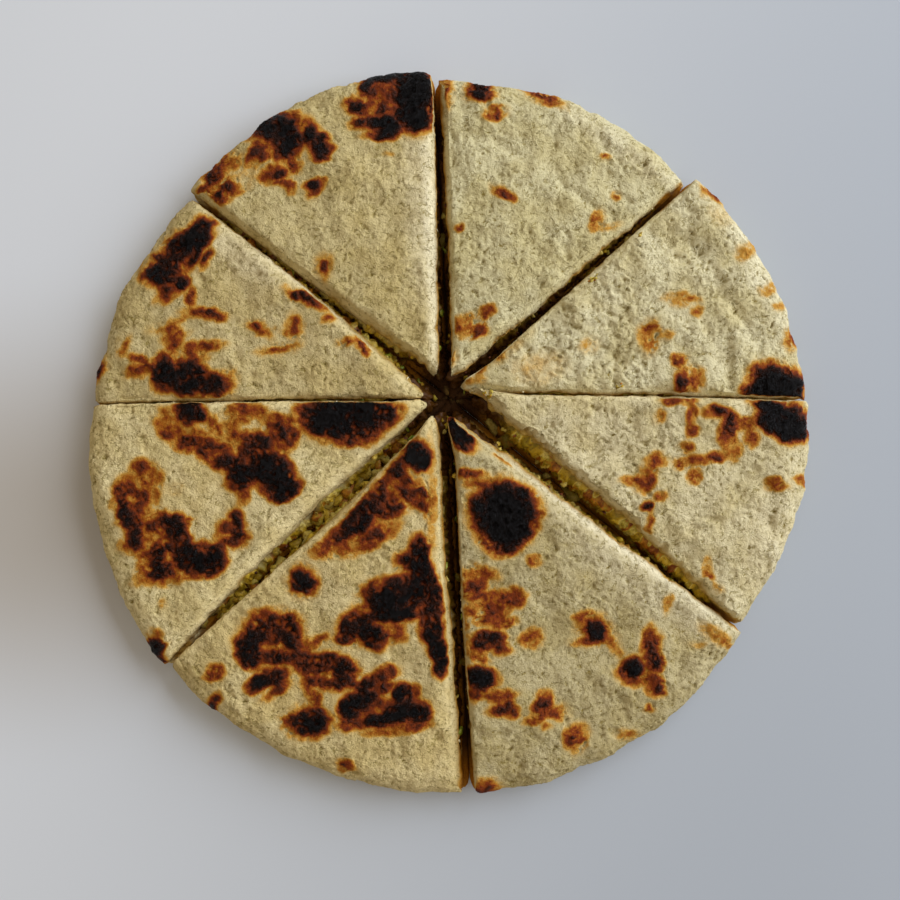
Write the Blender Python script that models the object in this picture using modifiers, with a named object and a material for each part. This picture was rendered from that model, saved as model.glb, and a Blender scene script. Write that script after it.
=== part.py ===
# Paneer kulcha: a round griddled flatbread stuffed with spiced curd cheese, cut into eight wedges.
# Each wedge is two pieces: a fold of dough (top crust, rim and base in one) and the slab of filling in it.
# Metres, +Z up, the bread's flat underside on z = 0 and its box centred on the origin.
import math

import bmesh
import bpy
from mathutils import Vector

# Driving dimensions of the whole bread
BREAD_RADIUS = 0.100
CENTRE_THICKNESS = 0.0138
SHOULDER_THICKNESS = 0.0108  # where the top starts to turn down into the rim
SHOULDER_RADIUS = 0.0915
DOME_POWER = 2.2
RIM_HEIGHT = 0.0048  # height of the widest line of the rim
RIM_FOOT_RADIUS = 0.0945  # where the flat underside ends
CRUST_TOP = 0.0033
CRUST_BASE = 0.0034
POCKET_RADIUS = 0.0905  # the dough is sealed outside this
POCKET_TAPER = 0.012  # length over which the filling thins out towards the seal
FILLING_GAP = 0.0003
TURN_STEPS = 72
RIM_STEPS = 4
TAPER_STEPS = 2
FACE_STATIONS = (0.0, 0.25, 0.5, 0.7, 0.86, 1.0)  # shares of a domed face's radius that get a point
RIM_SHARE = 0.55  # the blank is only stretched to its rim's outline outside this share of its radius
# The griddle leaves the top a little uneven: this high, in waves of about 70, 80 and 50 mm.
UNEVEN_HEIGHT = 0.00035
WAVES_X, WAVES_Y, WAVES_ACROSS = 95.0, 80.0, 130.0  # radians per metre
ACROSS_SHARE = 0.6

# Driving dimensions of the cuts
KNIFE_CENTRE = Vector((0.0012, 0.0096))
KERF = 0.0004  # gap that is left between neighbours where they stand on the board
NEAR, FAR = 0.005, 0.095  # distances from the knife centre between which a draw-back is given
# A cut wall from base to top, as (share of the thickness, share of the top crust's draw-back):
# the base crust runs out to the kerf as a foot, the filling is steep and the top crust leans most.
WALL = ((0.12, 0.22), (0.26, 0.42), (0.54, 0.56), (0.78, 0.76), (0.92, 0.92), (1.0, 1.0))
EDGE_ROUND = 0.0010
EDGE_ROUND_FROM = 0.76  # share of the thickness above which the cut edge is rounded over
TIP_ROUND = (0.0002, 0.0014)  # at the base, at the top
CORNER_ROUND = 0.0055
CUTTER_BELOW, CUTTER_TOP = -0.002, 0.020
CUTTER_PAST_RIM = 0.0022
SIDE_STEPS = 4
CORNER_STEPS = 4
TIP_STEPS = 3
OUTER_STEPS = 5

# The eight wedges, clockwise from the top left. cuts: the directions of its two cuts in degrees, the lower
# first. drawn_back: how far the top crust has shrunk from each of those cuts, in mm, near, halfway and far
# from the knife centre. rim: the rim's radius in mm at the first cut, between the cuts and at the second.
WEDGES = (
    {
        "cuts": (93.3, 142.2),
        "drawn_back": ((3.4, 1.5, 0.7), (3.8, 2.2, 2.5)),
        "rim": (100.4, 100.2, 97.6),
    },
    {
        "cuts": (42.0, 93.3),
        "drawn_back": ((2.6, 1.7, 1.6), (0.6, 2.1, 2.6)),
        "rim": (95.6, 97.7, 98.3),
    },
    {
        "cuts": (-0.2, 42.0),
        "drawn_back": ((1.8, 1.4, 0.3), (0.9, 0.1, 0.7)),
        "rim": (100.2, 99.9, 99.4),
    },
    {
        "cuts": (-38.9, -0.2),
        "drawn_back": ((5.0, 5.2, 1.8), (-0.7, -0.7, 0.5)),
        "rim": (96.4, 98.9, 100.4),
    },
    {
        "cuts": (-87.1, -38.9),
        "drawn_back": ((0.5, 0.1, 1.2), (3.6, 2.3, 0.1)),
        "rim": (100.5, 100.4, 99.2),
    },
    {
        "cuts": (-136.2, -87.1),
        "drawn_back": ((1.4, 1.7, 0.4), (2.6, 3.0, 3.4)),
        "rim": (100.2, 99.8, 100.0),
    },
    {
        "cuts": (-178.9, -136.2),
        "drawn_back": ((1.0, 0.2, 0.3), (2.8, 4.8, 1.6)),
        "rim": (99.4, 100.9, 101.0),
    },
    {
        "cuts": (142.2, 181.1),
        "drawn_back": ((3.6, 0.8, 0.9), (-0.2, 0.4, 0.5)),
        "rim": (96.7, 98.2, 99.2),
    },
)

DOUGH = {"colour": (0.520, 0.460, 0.290), "roughness": 0.85}
FILLING = {"colour": (0.360, 0.250, 0.050), "roughness": 0.70}
MM = 0.001


def clear_scene():
    for obj in list(bpy.data.objects):
        bpy.data.objects.remove(obj, do_unlink=True)


def new_collection(name):
    collection = bpy.data.collections.new(name)
    bpy.context.scene.collection.children.link(collection)
    return collection


def new_material(name, look):
    material = bpy.data.materials.new(name)
    material.use_nodes = True
    shader = material.node_tree.nodes["Principled BSDF"]
    shader.inputs["Base Color"].default_value = (*look["colour"], 1.0)
    shader.inputs["Roughness"].default_value = look["roughness"]
    shader.inputs["Metallic"].default_value = 0.0
    material.diffuse_color = (*look["colour"], 1.0)
    return material


def top_height(radius):
    """Height of the bread's top at this distance from its middle: a very low dome."""
    share = min(radius / SHOULDER_RADIUS, 1.0)
    return CENTRE_THICKNESS + (SHOULDER_THICKNESS - CENTRE_THICKNESS) * share**DOME_POWER


def domed_face(last_radius, lowered):
    """Profile points on the domed top, or on a face that far below it, from the middle outwards."""
    radii = [last_radius * share for share in FACE_STATIONS]
    return [(radius, top_height(radius) - lowered) for radius in radii]


def quarter_ellipse(start, end, count):
    """Points from start to end, leaving start level and arriving at end upright. start isn't repeated."""
    points = []
    for i in range(1, count + 1):
        angle = math.pi / 2 * i / count
        x = start[0] + (end[0] - start[0]) * math.sin(angle)
        z = start[1] + (end[1] - start[1]) * (1 - math.cos(angle))
        points.append((x, z))
    return points


def dough_profile():
    """The outside of the bread, from the middle of its top round the rim to the middle of its underside."""
    top = domed_face(SHOULDER_RADIUS, 0.0)
    upper_rim = quarter_ellipse(top[-1], (BREAD_RADIUS, RIM_HEIGHT), RIM_STEPS)
    lower_rim = quarter_ellipse((RIM_FOOT_RADIUS, 0.0), (BREAD_RADIUS, RIM_HEIGHT), RIM_STEPS)
    foot = [(RIM_FOOT_RADIUS, 0.0), (0.0, 0.0)]
    return top + upper_rim + lower_rim[-2::-1] + foot


def slab_profile(inset):
    """The pocket in the dough, or the filling in it when it is drawn in by the gap."""
    flat_radius = POCKET_RADIUS - POCKET_TAPER
    floor = CRUST_BASE + inset
    top = domed_face(flat_radius, CRUST_TOP + inset)
    seam = (POCKET_RADIUS - inset, (top[-1][1] + floor) / 2)
    upper_taper = quarter_ellipse(top[-1], seam, TAPER_STEPS)
    lower_taper = quarter_ellipse((flat_radius, floor), seam, TAPER_STEPS)
    return top + upper_taper + lower_taper[-2::-1] + [(flat_radius, floor), (0.0, floor)]


def turned_mesh(name, profile):
    """Turns a profile at +X about the Z axis and returns the finished mesh."""
    mesh = bpy.data.meshes.new(name)
    edges = [(i, i + 1) for i in range(len(profile) - 1)]
    mesh.from_pydata([(x, 0.0, z) for x, z in profile], edges, [])
    guide = bpy.data.objects.new(name, mesh)
    bpy.context.scene.collection.objects.link(guide)
    screw = guide.modifiers.new("Turn", "SCREW")
    screw.steps = screw.render_steps = TURN_STEPS
    screw.use_merge_vertices = True
    screw.merge_threshold = 0.00001
    graph = bpy.context.evaluated_depsgraph_get()
    turned = bpy.data.meshes.new_from_object(guide.evaluated_get(graph))
    turned.name = name
    bpy.data.objects.remove(guide, do_unlink=True)
    bpy.data.meshes.remove(mesh)
    return turned


def smooth_step(value, low, high):
    share = min(max((value - low) / (high - low), 0.0), 1.0)
    return share * share * (3 - 2 * share)


def smooth_through(values, share):
    """The parabola through three values, given at shares 0, 1/2 and 1."""
    first, middle, last = values
    return first + share * (4 * middle - 3 * first - last) + share * share * 2 * (first + last - 2 * middle)


def rim_radius(wedge, angle):
    """The rim's radius in this direction."""
    low, high = wedge["cuts"]
    middle = (low + high) / 2
    degrees = (math.degrees(angle) - middle + 180) % 360 - 180
    share = min(max(degrees / (high - low) + 0.5, -0.1), 1.1)
    return smooth_through(wedge["rim"], share) * MM


def hand_made(mesh, wedge):
    """Takes the turned blank out of true, as hands and griddle do: its rim and the swell of its top."""
    for vertex in mesh.vertices:
        x, y, z = vertex.co
        radius = math.hypot(x, y)
        spread = rim_radius(wedge, math.atan2(y, x)) / BREAD_RADIUS - 1
        stretch = 1 + spread * smooth_step(radius / BREAD_RADIUS, RIM_SHARE, 1.0)
        swell = math.sin(x * WAVES_X + 1.0) * math.cos(y * WAVES_Y - 0.6)
        swell += ACROSS_SHARE * math.sin((x + y) * WAVES_ACROSS + 2.0)
        lift = UNEVEN_HEIGHT * swell * z / CENTRE_THICKNESS
        vertex.co = (x * stretch, y * stretch, z + lift)


def side_points(wedge, side, level, share_back):
    """Points along one cut wall at a share of the thickness, in plan, from near the tip outwards."""
    angle = math.radians(wedge["cuts"][side])
    along = Vector((math.cos(angle), math.sin(angle)))
    inwards = Vector((-along.y, along.x)) * (1 if side == 0 else -1)
    over = max(level - EDGE_ROUND_FROM, 0.0) / (1 - EDGE_ROUND_FROM)
    rounding = EDGE_ROUND * (1 - math.sqrt(1 - over * over))
    points = []
    for i in range(SIDE_STEPS + 1):
        share = i / SIDE_STEPS
        back = smooth_through(wedge["drawn_back"][side], share) * MM * share_back
        reach = NEAR + (FAR - NEAR) * share
        points.append(KNIFE_CENTRE + along * reach + inwards * (KERF / 2 + back + rounding))
    return points


def meeting_point(start_a, end_a, start_b, end_b):
    """Where the lines through two pairs of points cross, in plan."""
    along_a, along_b = end_a - start_a, end_b - start_b
    return start_a + along_a * ((start_b - start_a).cross(along_b) / along_a.cross(along_b))


def rim_crossing(inner, outer, wedge):
    """Where a cut wall's line passes the cutter's outer edge, just outside the rim."""
    along = (outer - inner).normalized()
    point = outer
    for _ in range(4):
        edge = rim_radius(wedge, math.atan2(point.y, point.x)) + CUTTER_PAST_RIM
        point = point + along * (edge - point.length)
    return point


def rounded_corner(before, corner, after, radius, count):
    """The count + 1 points of the arc that rounds a corner."""
    to_before = (before - corner).normalized()
    to_after = (after - corner).normalized()
    half = to_before.angle(to_after) / 2
    centre = corner + (to_before + to_after).normalized() * (radius / math.sin(half))
    arc_start = corner + to_before * (radius / math.tan(half)) - centre
    turn = math.pi - 2 * half
    if arc_start.cross(corner - centre) < 0:
        turn = -turn
    points = []
    for i in range(count + 1):
        angle = turn * i / count
        cos, sin = math.cos(angle), math.sin(angle)
        spoke = (arc_start.x * cos - arc_start.y * sin, arc_start.x * sin + arc_start.y * cos)
        points.append(centre + Vector(spoke))
    return points


def wedge_outline(wedge, level, share_back):
    """The wedge in plan at a share of its thickness: tip, first cut, rim, second cut."""
    first_side, second_side = (side_points(wedge, side, level, share_back) for side in (0, 1))
    tip = meeting_point(*first_side[:2], *second_side[:2])
    corners = [rim_crossing(side[-2], side[-1], wedge) for side in (first_side, second_side)]
    first = math.atan2(corners[0].y, corners[0].x)
    sweep = (math.atan2(corners[1].y, corners[1].x) - first) % (2 * math.pi)
    outer = []
    for i in range(1, OUTER_STEPS):
        angle = first + sweep * i / OUTER_STEPS
        reach = rim_radius(wedge, angle) + CUTTER_PAST_RIM
        outer.append(Vector((math.cos(angle), math.sin(angle))) * reach)
    tip_round = TIP_ROUND[0] + (TIP_ROUND[1] - TIP_ROUND[0]) * level
    points = rounded_corner(second_side[1], tip, first_side[1], tip_round, TIP_STEPS)
    points += first_side[1:-1]
    points += rounded_corner(first_side[-2], corners[0], outer[0], CORNER_ROUND, CORNER_STEPS)
    points += outer
    points += rounded_corner(outer[-1], corners[1], second_side[-2], CORNER_ROUND, CORNER_STEPS)
    points += second_side[-2:0:-1]
    return points


def wedge_cutter(name, wedge, collection):
    """A loft up the wedge's outlines, whose walls lean in from the base and round over at the top."""
    rings = [[(p.x, p.y, CUTTER_BELOW) for p in wedge_outline(wedge, 0.0, 0.0)]]
    for level, share_back in WALL:
        outline = wedge_outline(wedge, level, share_back)
        rings.append([(p.x, p.y, level * top_height(p.length)) for p in outline])
    rings.append([(x, y, CUTTER_TOP) for x, y, _ in rings[-1]])
    shape = bmesh.new()
    rows = [[shape.verts.new(point) for point in ring] for ring in rings]
    count = len(rows[0])
    for lower, upper in zip(rows, rows[1:]):
        for i in range(count):
            j = (i + 1) % count
            shape.faces.new((lower[i], lower[j], upper[j], upper[i]))
    shape.faces.new(rows[0][::-1])
    shape.faces.new(rows[-1])
    bmesh.ops.recalc_face_normals(shape, faces=shape.faces)
    mesh = bpy.data.meshes.new(name)
    shape.to_mesh(mesh)
    shape.free()
    return hidden_helper(name, mesh, collection)


def hidden_helper(name, mesh, collection):
    helper = bpy.data.objects.new(name, mesh)
    helper.hide_render = True
    helper.display_type = "WIRE"
    collection.objects.link(helper)
    return helper


def add_boolean(obj, operation, cutter):
    boolean = obj.modifiers.new(cutter.name, "BOOLEAN")
    boolean.operation = operation
    boolean.solver = "EXACT"
    boolean.object = cutter


def wedge_piece(name, blank, wedge, look, cutters, parent, collection):
    """One piece of a wedge: the blank, taken out of true and cut by each (operation, cutter) in turn."""
    mesh = blank.copy()
    mesh.name = name
    hand_made(mesh, wedge)
    piece = bpy.data.objects.new(name, mesh)
    mesh.materials.clear()
    mesh.materials.append(new_material(name, look))
    collection.objects.link(piece)
    piece.parent = parent
    for operation, cutter in cutters:
        cutter.parent = parent
        add_boolean(piece, operation, cutter)
    return piece


def centre_on_origin(root, pieces):
    """Moves the whole bread so that its box is centred over the origin."""
    bpy.context.view_layer.update()
    graph = bpy.context.evaluated_depsgraph_get()
    corners = [Vector(corner) for piece in pieces for corner in piece.evaluated_get(graph).bound_box]
    low = Vector([min(corner[axis] for corner in corners) for axis in range(3)])
    high = Vector([max(corner[axis] for corner in corners) for axis in range(3)])
    root.location = (-(low.x + high.x) / 2, -(low.y + high.y) / 2, -low.z)
    bpy.context.view_layer.update()


def main():
    clear_scene()
    parts = new_collection("paneer_kulcha")
    cutters = new_collection("cutters")
    root = bpy.data.objects.new("paneer_kulcha", None)
    parts.objects.link(root)

    dough = turned_mesh("dough_blank", dough_profile())
    pocket = turned_mesh("pocket_blank", slab_profile(0.0))
    filling = turned_mesh("filling_blank", slab_profile(FILLING_GAP))

    pieces = []
    for number, wedge in enumerate(WEDGES, start=1):
        name = f"wedge_{number}"
        cutter = wedge_cutter(f"{name}_outline", wedge, cutters)
        hollow_mesh = pocket.copy()
        hand_made(hollow_mesh, wedge)
        hollow = hidden_helper(f"{name}_pocket", hollow_mesh, cutters)
        to_dough = (("DIFFERENCE", hollow), ("INTERSECT", cutter))
        pieces.append(wedge_piece(f"{name}_dough", dough, wedge, DOUGH, to_dough, root, parts))
        to_filling = (("INTERSECT", cutter),)
        pieces.append(wedge_piece(f"{name}_filling", filling, wedge, FILLING, to_filling, root, parts))
    centre_on_origin(root, pieces)


if __name__ == "__main__":
    main()
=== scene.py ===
# Paneer kulcha: a griddled flatbread stuffed with spiced curd cheese and cut into eight wedges.
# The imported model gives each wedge's dough and filling at its true size. This script gives them their
# surface: baked skin, scorch marks, torn crumb, curds, and the loose bits that a knife leaves.
import math

import bmesh
import bpy
import numpy as np
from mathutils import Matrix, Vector
from mathutils.bvhtree import BVHTree


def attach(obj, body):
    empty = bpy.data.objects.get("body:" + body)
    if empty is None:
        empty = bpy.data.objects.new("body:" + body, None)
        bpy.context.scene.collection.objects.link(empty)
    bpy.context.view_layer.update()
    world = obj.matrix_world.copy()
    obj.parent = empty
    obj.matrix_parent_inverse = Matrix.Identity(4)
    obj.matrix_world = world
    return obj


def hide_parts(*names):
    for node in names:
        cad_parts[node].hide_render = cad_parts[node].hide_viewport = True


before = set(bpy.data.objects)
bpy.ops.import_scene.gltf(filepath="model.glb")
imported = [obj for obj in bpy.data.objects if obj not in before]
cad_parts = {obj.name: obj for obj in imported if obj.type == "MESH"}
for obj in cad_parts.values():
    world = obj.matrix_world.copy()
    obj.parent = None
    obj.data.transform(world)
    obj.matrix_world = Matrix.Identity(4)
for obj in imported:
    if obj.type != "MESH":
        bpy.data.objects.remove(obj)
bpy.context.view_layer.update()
mm = 0.001

wedgeNames = sorted({name.rsplit("_", 1)[0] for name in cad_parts})
knifeCentre = np.array((0.7, 9.6))  # mm, where the four cuts cross
farAway = 99.0  # mm, farther than anything here


def cellRandom(cell, seed):
    # three numbers from -1 to 1 for each cell of a grid: the large factors stir the bits of its place
    state = (cell * np.array((374761393, 668265263, 2147483629))).sum(axis=1) + seed * 144665
    state = (state ^ (state >> 15)) * 1274126177
    state = (state ^ (state >> 13)) * 2246822519
    state = state ^ (state >> 16)
    return np.stack([(state >> shift) & 1023 for shift in (3, 17, 31)], axis=1) / 511.5 - 1


def softNoise(points, size, seed, octaves=1):
    # smooth lumps about this size across, from about -1 to 1, with finer ones on top for each octave
    total = np.zeros(len(points))
    strength = 1.0
    for octave in range(octaves):
        place = points / size * 2**octave + octave * 17.3  # shifted, so that octaves don't line up
        cell = np.floor(place).astype(np.int64)
        inside = place - cell
        fade = inside**3 * (inside * (inside * 6 - 15) + 10)
        for corner in np.ndindex(2, 2, 2):
            pull = cellRandom(cell + corner, seed + octave)
            weight = np.prod(np.where(corner, fade, 1 - fade), axis=1)
            total += strength * weight * ((inside - corner) * pull).sum(axis=1)
        strength *= 0.5
    return total * 1.5


def softPush(points, size, seed):
    # the same as a direction in plan
    return np.stack([softNoise(points, size, seed + turn * 31) for turn in (0, 1)], axis=1)


def scatteredSpots(points, spacing, stretch, seed):
    # for each point: how far it is from the nearest of many scattered oval spots, in spacings, and a number
    # from 0 to 1 that belongs to that spot
    place = points / spacing
    home = np.floor(place).astype(np.int64)
    nearest = np.full(len(points), farAway)
    number = np.zeros(len(points))
    for step in np.ndindex(3, 3, 3):
        cell = home + np.array(step) - 1
        offset = cellRandom(cell, seed)
        away = place - (cell + 0.5 + offset * 0.42)  # a spot strays by nearly half a cell
        turn = cellRandom(cell, seed + 1)[:, 0] * math.pi
        along = away[:, 0] * np.cos(turn) + away[:, 1] * np.sin(turn)
        across = away[:, 1] * np.cos(turn) - away[:, 0] * np.sin(turn)
        distance = np.sqrt((along / stretch) ** 2 + across**2 + (away[:, 2] * 0.6) ** 2)
        closer = distance < nearest
        nearest = np.where(closer, distance, nearest)
        number = np.where(closer, offset[:, 2] * 0.5 + 0.5, number)
    return nearest, number


def smoothStep(value, low, high):
    # 0 at low, 1 at high
    share = np.clip((value - low) / (high - low), 0, 1)
    return share * share * (3 - 2 * share)


# What the griddle and the knife did to each wedge, in mm and degrees in plan.
# cuts: the directions of its two cuts from where they cross. rough: how uneven its skin is. heat: how far
# its marks are burnt at most.
# scorched: (x, y, half length, half width, turn, heat), heat from 0.1, a faint tan, through 0.3, golden,
# and 0.5, brown, to 1, black.
# the highlighted strips: a pale highlight painted along the lips and rims that face the window, listed like
# the marks, with how pale each is.
# creased: folds and dimples in the skin, each (start, middle, end, depth, half width), and a negative depth
# is a ridge.
# edges: for each cut, by how much and over what width the skin rounds down at it, how far the knife dragged
# the crust down over the filling (apron), how ragged it tore, how dark the wall is soaked, a darkening that
# is also painted shade low in the gap, and how far the crust reaches out over the cut near the middle,
# halfway and at the rim, below 0 where it leans back.
# tip: which way the point of the crust was pulled.
wedgeLooks = {
    "wedge_1": {
        "cuts": (93.3, 142.2), "rough": 1.1, "skin": "#cab881", "heat": 1.1,
        "scorched": [
            (-52, 76.5, 3, 1.3, 30, 0.8), (-62, 66.6, 3.8, 1.5, 15, 0.85), (-17, 81.4, 4.4, 1.2, 5, 0.9),
            (-34.2, 80, 1.8, 1.4, 0, 0.85), (-37.4, 67.6, 1.8, 1.2, 0, 0.8), (-46, 68.4, 1.6, 1, 0, 0.75),
            (-10, 90, 7.6, 4.9, 90, 1.1), (-8, 94, 3.2, 3, 0, 1.1), (-8, 85.5, 3.4, 2.8, 20, 1.1),
            (-16, 95.4, 6, 1.7, 8, 1), (-17.5, 84.2, 4.6, 2.2, -6, 1.05), (-24.5, 88.4, 3, 1.7, 0, 0.85),
            (-21, 90.6, 2.4, 1.1, 35, 0.75), (-17, 90, 3.8, 3.4, 0, 0.45), (-25.2, 84.2, 2.2, 1.6, 0, 0.6),
            (-21.5, 93, 2.2, 1.4, 40, 0.8), (-16.5, 88, 2.6, 0.5, 10, 0.7), (-47, 82.3, 6.5, 1.9, 18, 1),
            (-43.5, 80, 4.4, 3.9, 90, 0.95), (-45, 76, 3.2, 2.6, 0, 0.85), (-42, 72.8, 2, 1.6, 0, 0.7),
            (-51.5, 75, 3.2, 1.3, 20, 0.65), (-54.5, 72.7, 1.6, 0.9, 0, 0.45),
            (-37.5, 81, 3, 2.4, 90, 0.85), (-34.5, 77.5, 2.8, 1.7, 10, 0.85), (-35, 75, 2.2, 1.1, 0, 0.7),
            (-47.5, 70.8, 3.2, 1.5, 0, 0.75), (-44.3, 68.2, 2.6, 1.7, -35, 0.7),
            (-50.5, 69, 1.5, 1.2, 0, 0.5), (-36.3, 66.8, 2.3, 1.8, 30, 0.8), (-38, 65, 1.2, 0.8, 40, 0.5),
            (-63.5, 70, 5.5, 1.2, 50, 0.9), (-62.6, 64.8, 2.6, 2.2, 0, 0.95),
            (-58.5, 65.8, 2.6, 0.9, 10, 0.6), (-60, 69, 1.5, 1.2, 0, 0.5), (-59, 73, 2.2, 0.8, 50, 0.6),
            (-57, 69, 6.5, 3.5, 20, 0.16), (-33.6, 44.5, 2.4, 1, 88, 0.68),
            (-33.6, 45.5, 4.2, 3.4, 90, 0.2), (-16.7, 75.8, 0.9, 0.7, 0, 0.3),
        ],
        "paintedHighlights": [(-4.5, 52, 36, 2.2, 93, 0.55), (-7, 62, 26, 4.5, 93, 0.25)],
        "creased": [
            ((-13, 25), (-9, 26.5), (-5, 32), 0.4, 1), ((-17, 24.5), (-12, 22), (-4, 17), 0.3, 0.8),
            ((-28, 73), (-25, 77), (-22, 76), 0.3, 1.2), ((-12, 42), (-10, 44), (-5, 42), 0.3, 1),
        ],
        "edges": (
            {"drop": 1.3, "width": 3, "apron": 0.4, "torn": 0.15, "soakedAndShaded": 1, "reach": (-0.2, 0.1, 0.9)},
            {"drop": 0.4, "width": 1.6, "apron": 2.4, "torn": 0.1, "soakedAndShaded": 0.15, "reach": (0, 0, 0)},
        ),
    },
    "wedge_2": {
        "cuts": (42, 93.3), "rough": 1.25, "skin": "#d3c898", "heat": 1.1,
        "scorched": [
            (8.6, 94, 2.8, 1.4, 0, 1), (13, 88, 2.4, 1.2, 0, 0.52), (4.4, 30, 2.8, 2.2, 20, 0.62),
            (9, 25.6, 2, 1, 0, 0.58), (8.2, 92.4, 3.2, 1.9, 0, 0.88), (12.3, 87, 2.4, 1.6, 10, 0.52),
            (25, 91.4, 3.6, 0.7, -24, 0.85), (14.7, 65, 2.8, 1.4, -35, 0.53), (2.6, 55.5, 1.2, 1.1, 0, 0.5),
            (45.8, 64.3, 1.2, 1, 0, 0.52), (42.7, 74.9, 1.2, 1, 0, 0.38), (40.2, 57.2, 2.8, 1.6, 60, 0.48),
            (43.6, 55.3, 3.2, 1.2, 5, 0.34), (10.5, 32.6, 2.1, 1.4, 30, 0.58),
            (4.6, 28.2, 4.6, 2.2, -5, 0.6), (8.6, 27.2, 2.5, 2.3, 0, 0.6), (1.6, 19.5, 2.6, 1.5, 90, 0.28),
            (-0.2, 92.5, 3.4, 1.3, 90, 0.5),
        ],
        "paintedHighlights": [(50, 76, 30, 2.5, -35, 0.25)],
        "creased": [
            ((24, 88), (24, 80), (25, 72), -0.35, 5), ((14, 82), (15, 76), (15, 70), 0.3, 4),
            ((45, 66), (48, 64), (50.5, 62), 0.35, 1), ((31.6, 54), (31.8, 54), (32, 54.4), 0.5, 0.8),
            ((32.3, 47.3), (32.5, 47), (33, 47), 0.5, 0.8), ((22, 60), (26, 57), (27, 52), 0.3, 1.8),
            ((30, 69), (34, 64), (40, 61), 0.5, 1.6), ((41, 81), (43, 77), (46, 75), 0.5, 1.6),
            ((11, 82), (13, 78), (18, 76), 0.35, 1.5), ((34, 87), (36, 83), (36, 80), 0.3, 1.2),
            ((31, 48), (32, 50), (32, 53), 0.3, 1.1),
        ],
        "edges": (
            {"drop": 0.5, "width": 1.8, "apron": 1.5, "torn": 0.35, "soakedAndShaded": 0.9,
             "reach": (-1.7, -1.1, -1.1)},
            {"drop": 0.5, "width": 1.4, "apron": 0.8, "torn": 0.15, "soakedAndShaded": 1, "reach": (0, 0, 0)},
        ),
    },
    "wedge_3": {
        "cuts": (-0.2, 42), "rough": 1.45, "skin": "#d9cea1", "heat": 1.1,
        "scorched": [
            (16.6, 21.9, 9, 2.2, 42, 0.13), (25, 17.5, 9, 5.5, 10, 0.12), (88.4, 13.6, 6.2, 5.3, -15, 1.1),
            (84.8, 11.4, 4.4, 2.8, 0, 1.1), (92, 11, 3.6, 3, 90, 1.1), (62.3, 19.7, 2, 1.6, 0, 0.64),
            (63.1, 14, 3.2, 1.9, 90, 0.66), (67.2, 14.6, 2.7, 2.1, 60, 0.54), (65, 17, 2.6, 1.3, 0, 0.42),
            (54.4, 26.4, 4.3, 2.9, 85, 0.44), (54, 28.4, 2.2, 1.6, 0, 0.54), (59.2, 26.6, 2, 1.5, 0, 0.22),
            (63.3, 36.4, 4.2, 1.7, -3, 0.42), (65.6, 36.2, 1.6, 1.1, 0, 0.54),
            (67.6, 33, 1.8, 1.6, 0, 0.46), (38, 23.7, 3, 2.4, 0, 0.22), (80.2, 49, 2.4, 2.1, 0, 0.26),
            (86.3, 38.8, 1.9, 1.6, 0, 0.24), (88.9, 34.2, 1.4, 1.1, 0, 0.26),
            (92.4, 25.6, 2.4, 1.3, 90, 0.5), (71.6, 64, 2.8, 0.9, -38, 0.6),
            (13.5, 20.2, 2.2, 1.1, 20, 0.38), (11, 16, 2.8, 1.2, 90, 0.36), (8, 12.6, 2.4, 1, 30, 0.26),
            (74, 59, 5, 3, -40, 0.11),
        ],
        "paintedHighlights": [(85, 42, 22, 2.5, -62, 0.3)],
        "creased": [
            ((66, 52), (70, 46), (73, 38), 0.8, 3.6), ((73, 28), (75, 19), (76, 11), 0.55, 2.6),
            ((34, 32), (35, 22), (35, 14), -0.3, 5.5), ((12, 20), (16, 18), (22, 13), 0.4, 3.5),
            ((43.4, 30.6), (44.5, 28), (44.8, 25.2), 0.4, 1), ((60, 53), (63, 52), (66, 52), 0.45, 3),
            ((74, 38), (75, 37), (77, 36), 0.45, 3), ((58, 41), (62, 42), (66, 41), 0.3, 1.6),
            ((55, 55), (55, 50), (62, 48), 0.55, 1.8), ((62, 48), (68, 46), (70, 52), 0.45, 1.8),
            ((72, 45), (75, 37), (80, 31), 0.6, 2), ((76, 27), (77, 19), (76, 11), 0.6, 1.5),
            ((47, 26), (44.5, 22), (45, 12), 0.5, 1.3), ((20, 24), (22, 21.5), (21, 20), 0.4, 0.9),
            ((35, 22), (34, 17), (35, 13), 0.35, 1.2), ((70, 28), (72, 24), (75, 22), 0.3, 1.2),
            ((34, 33), (30, 31), (27, 33), 0.35, 1.4),
        ],
        "edges": (
            {"drop": 0.6, "width": 2.4, "apron": 0.8, "torn": 0.1, "soakedAndShaded": 0.45, "reach": (0, 0, 0.2)},
            {"drop": 0.9, "width": 3, "apron": 1, "torn": 0.2, "soakedAndShaded": 0.85, "reach": (1.1, 0.5, 0.5)},
        ),
        "tip": (-2.2, 0.1),
    },
    "wedge_4": {
        "cuts": (-38.9, -0.2), "rough": 1.2, "skin": "#d6c89a", "heat": 1.1,
        "scorched": [
            (71, 5.4, 2.6, 1.7, 0, 0.5), (90.5, 3.4, 6.6, 4.1, -30, 1.1), (86.2, 7, 3.4, 1.7, -10, 1.06),
            (93, 0.8, 3, 2.7, 0, 1.1), (86.4, 2.2, 4.6, 1.4, -45, 0.5), (62, 8.3, 4.2, 1.3, 3, 0.46),
            (57.2, 4, 2, 1.8, 0, 0.28), (65.6, 4, 3.9, 1.2, 82, 0.5), (65.8, 0.4, 1.3, 1.1, 0, 0.58),
            (73, 5.8, 2.9, 1.1, -10, 0.62), (76, 4, 1.9, 1.2, 0, 0.58), (75.8, -0.4, 5.6, 2.9, 95, 0.5),
            (80, 2.4, 3.2, 1.5, 10, 0.5), (82.4, -1.2, 2.6, 1.9, 90, 0.43), (77.6, -5.6, 3, 2, 60, 0.36),
            (72.5, -6.5, 1.9, 1.1, 0, 0.74), (66.6, -7.2, 4.6, 1.2, 5, 0.46),
            (63, -8.2, 1.7, 1.1, 10, 0.68), (64.4, -4, 1.7, 1.2, 0, 0.46),
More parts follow.
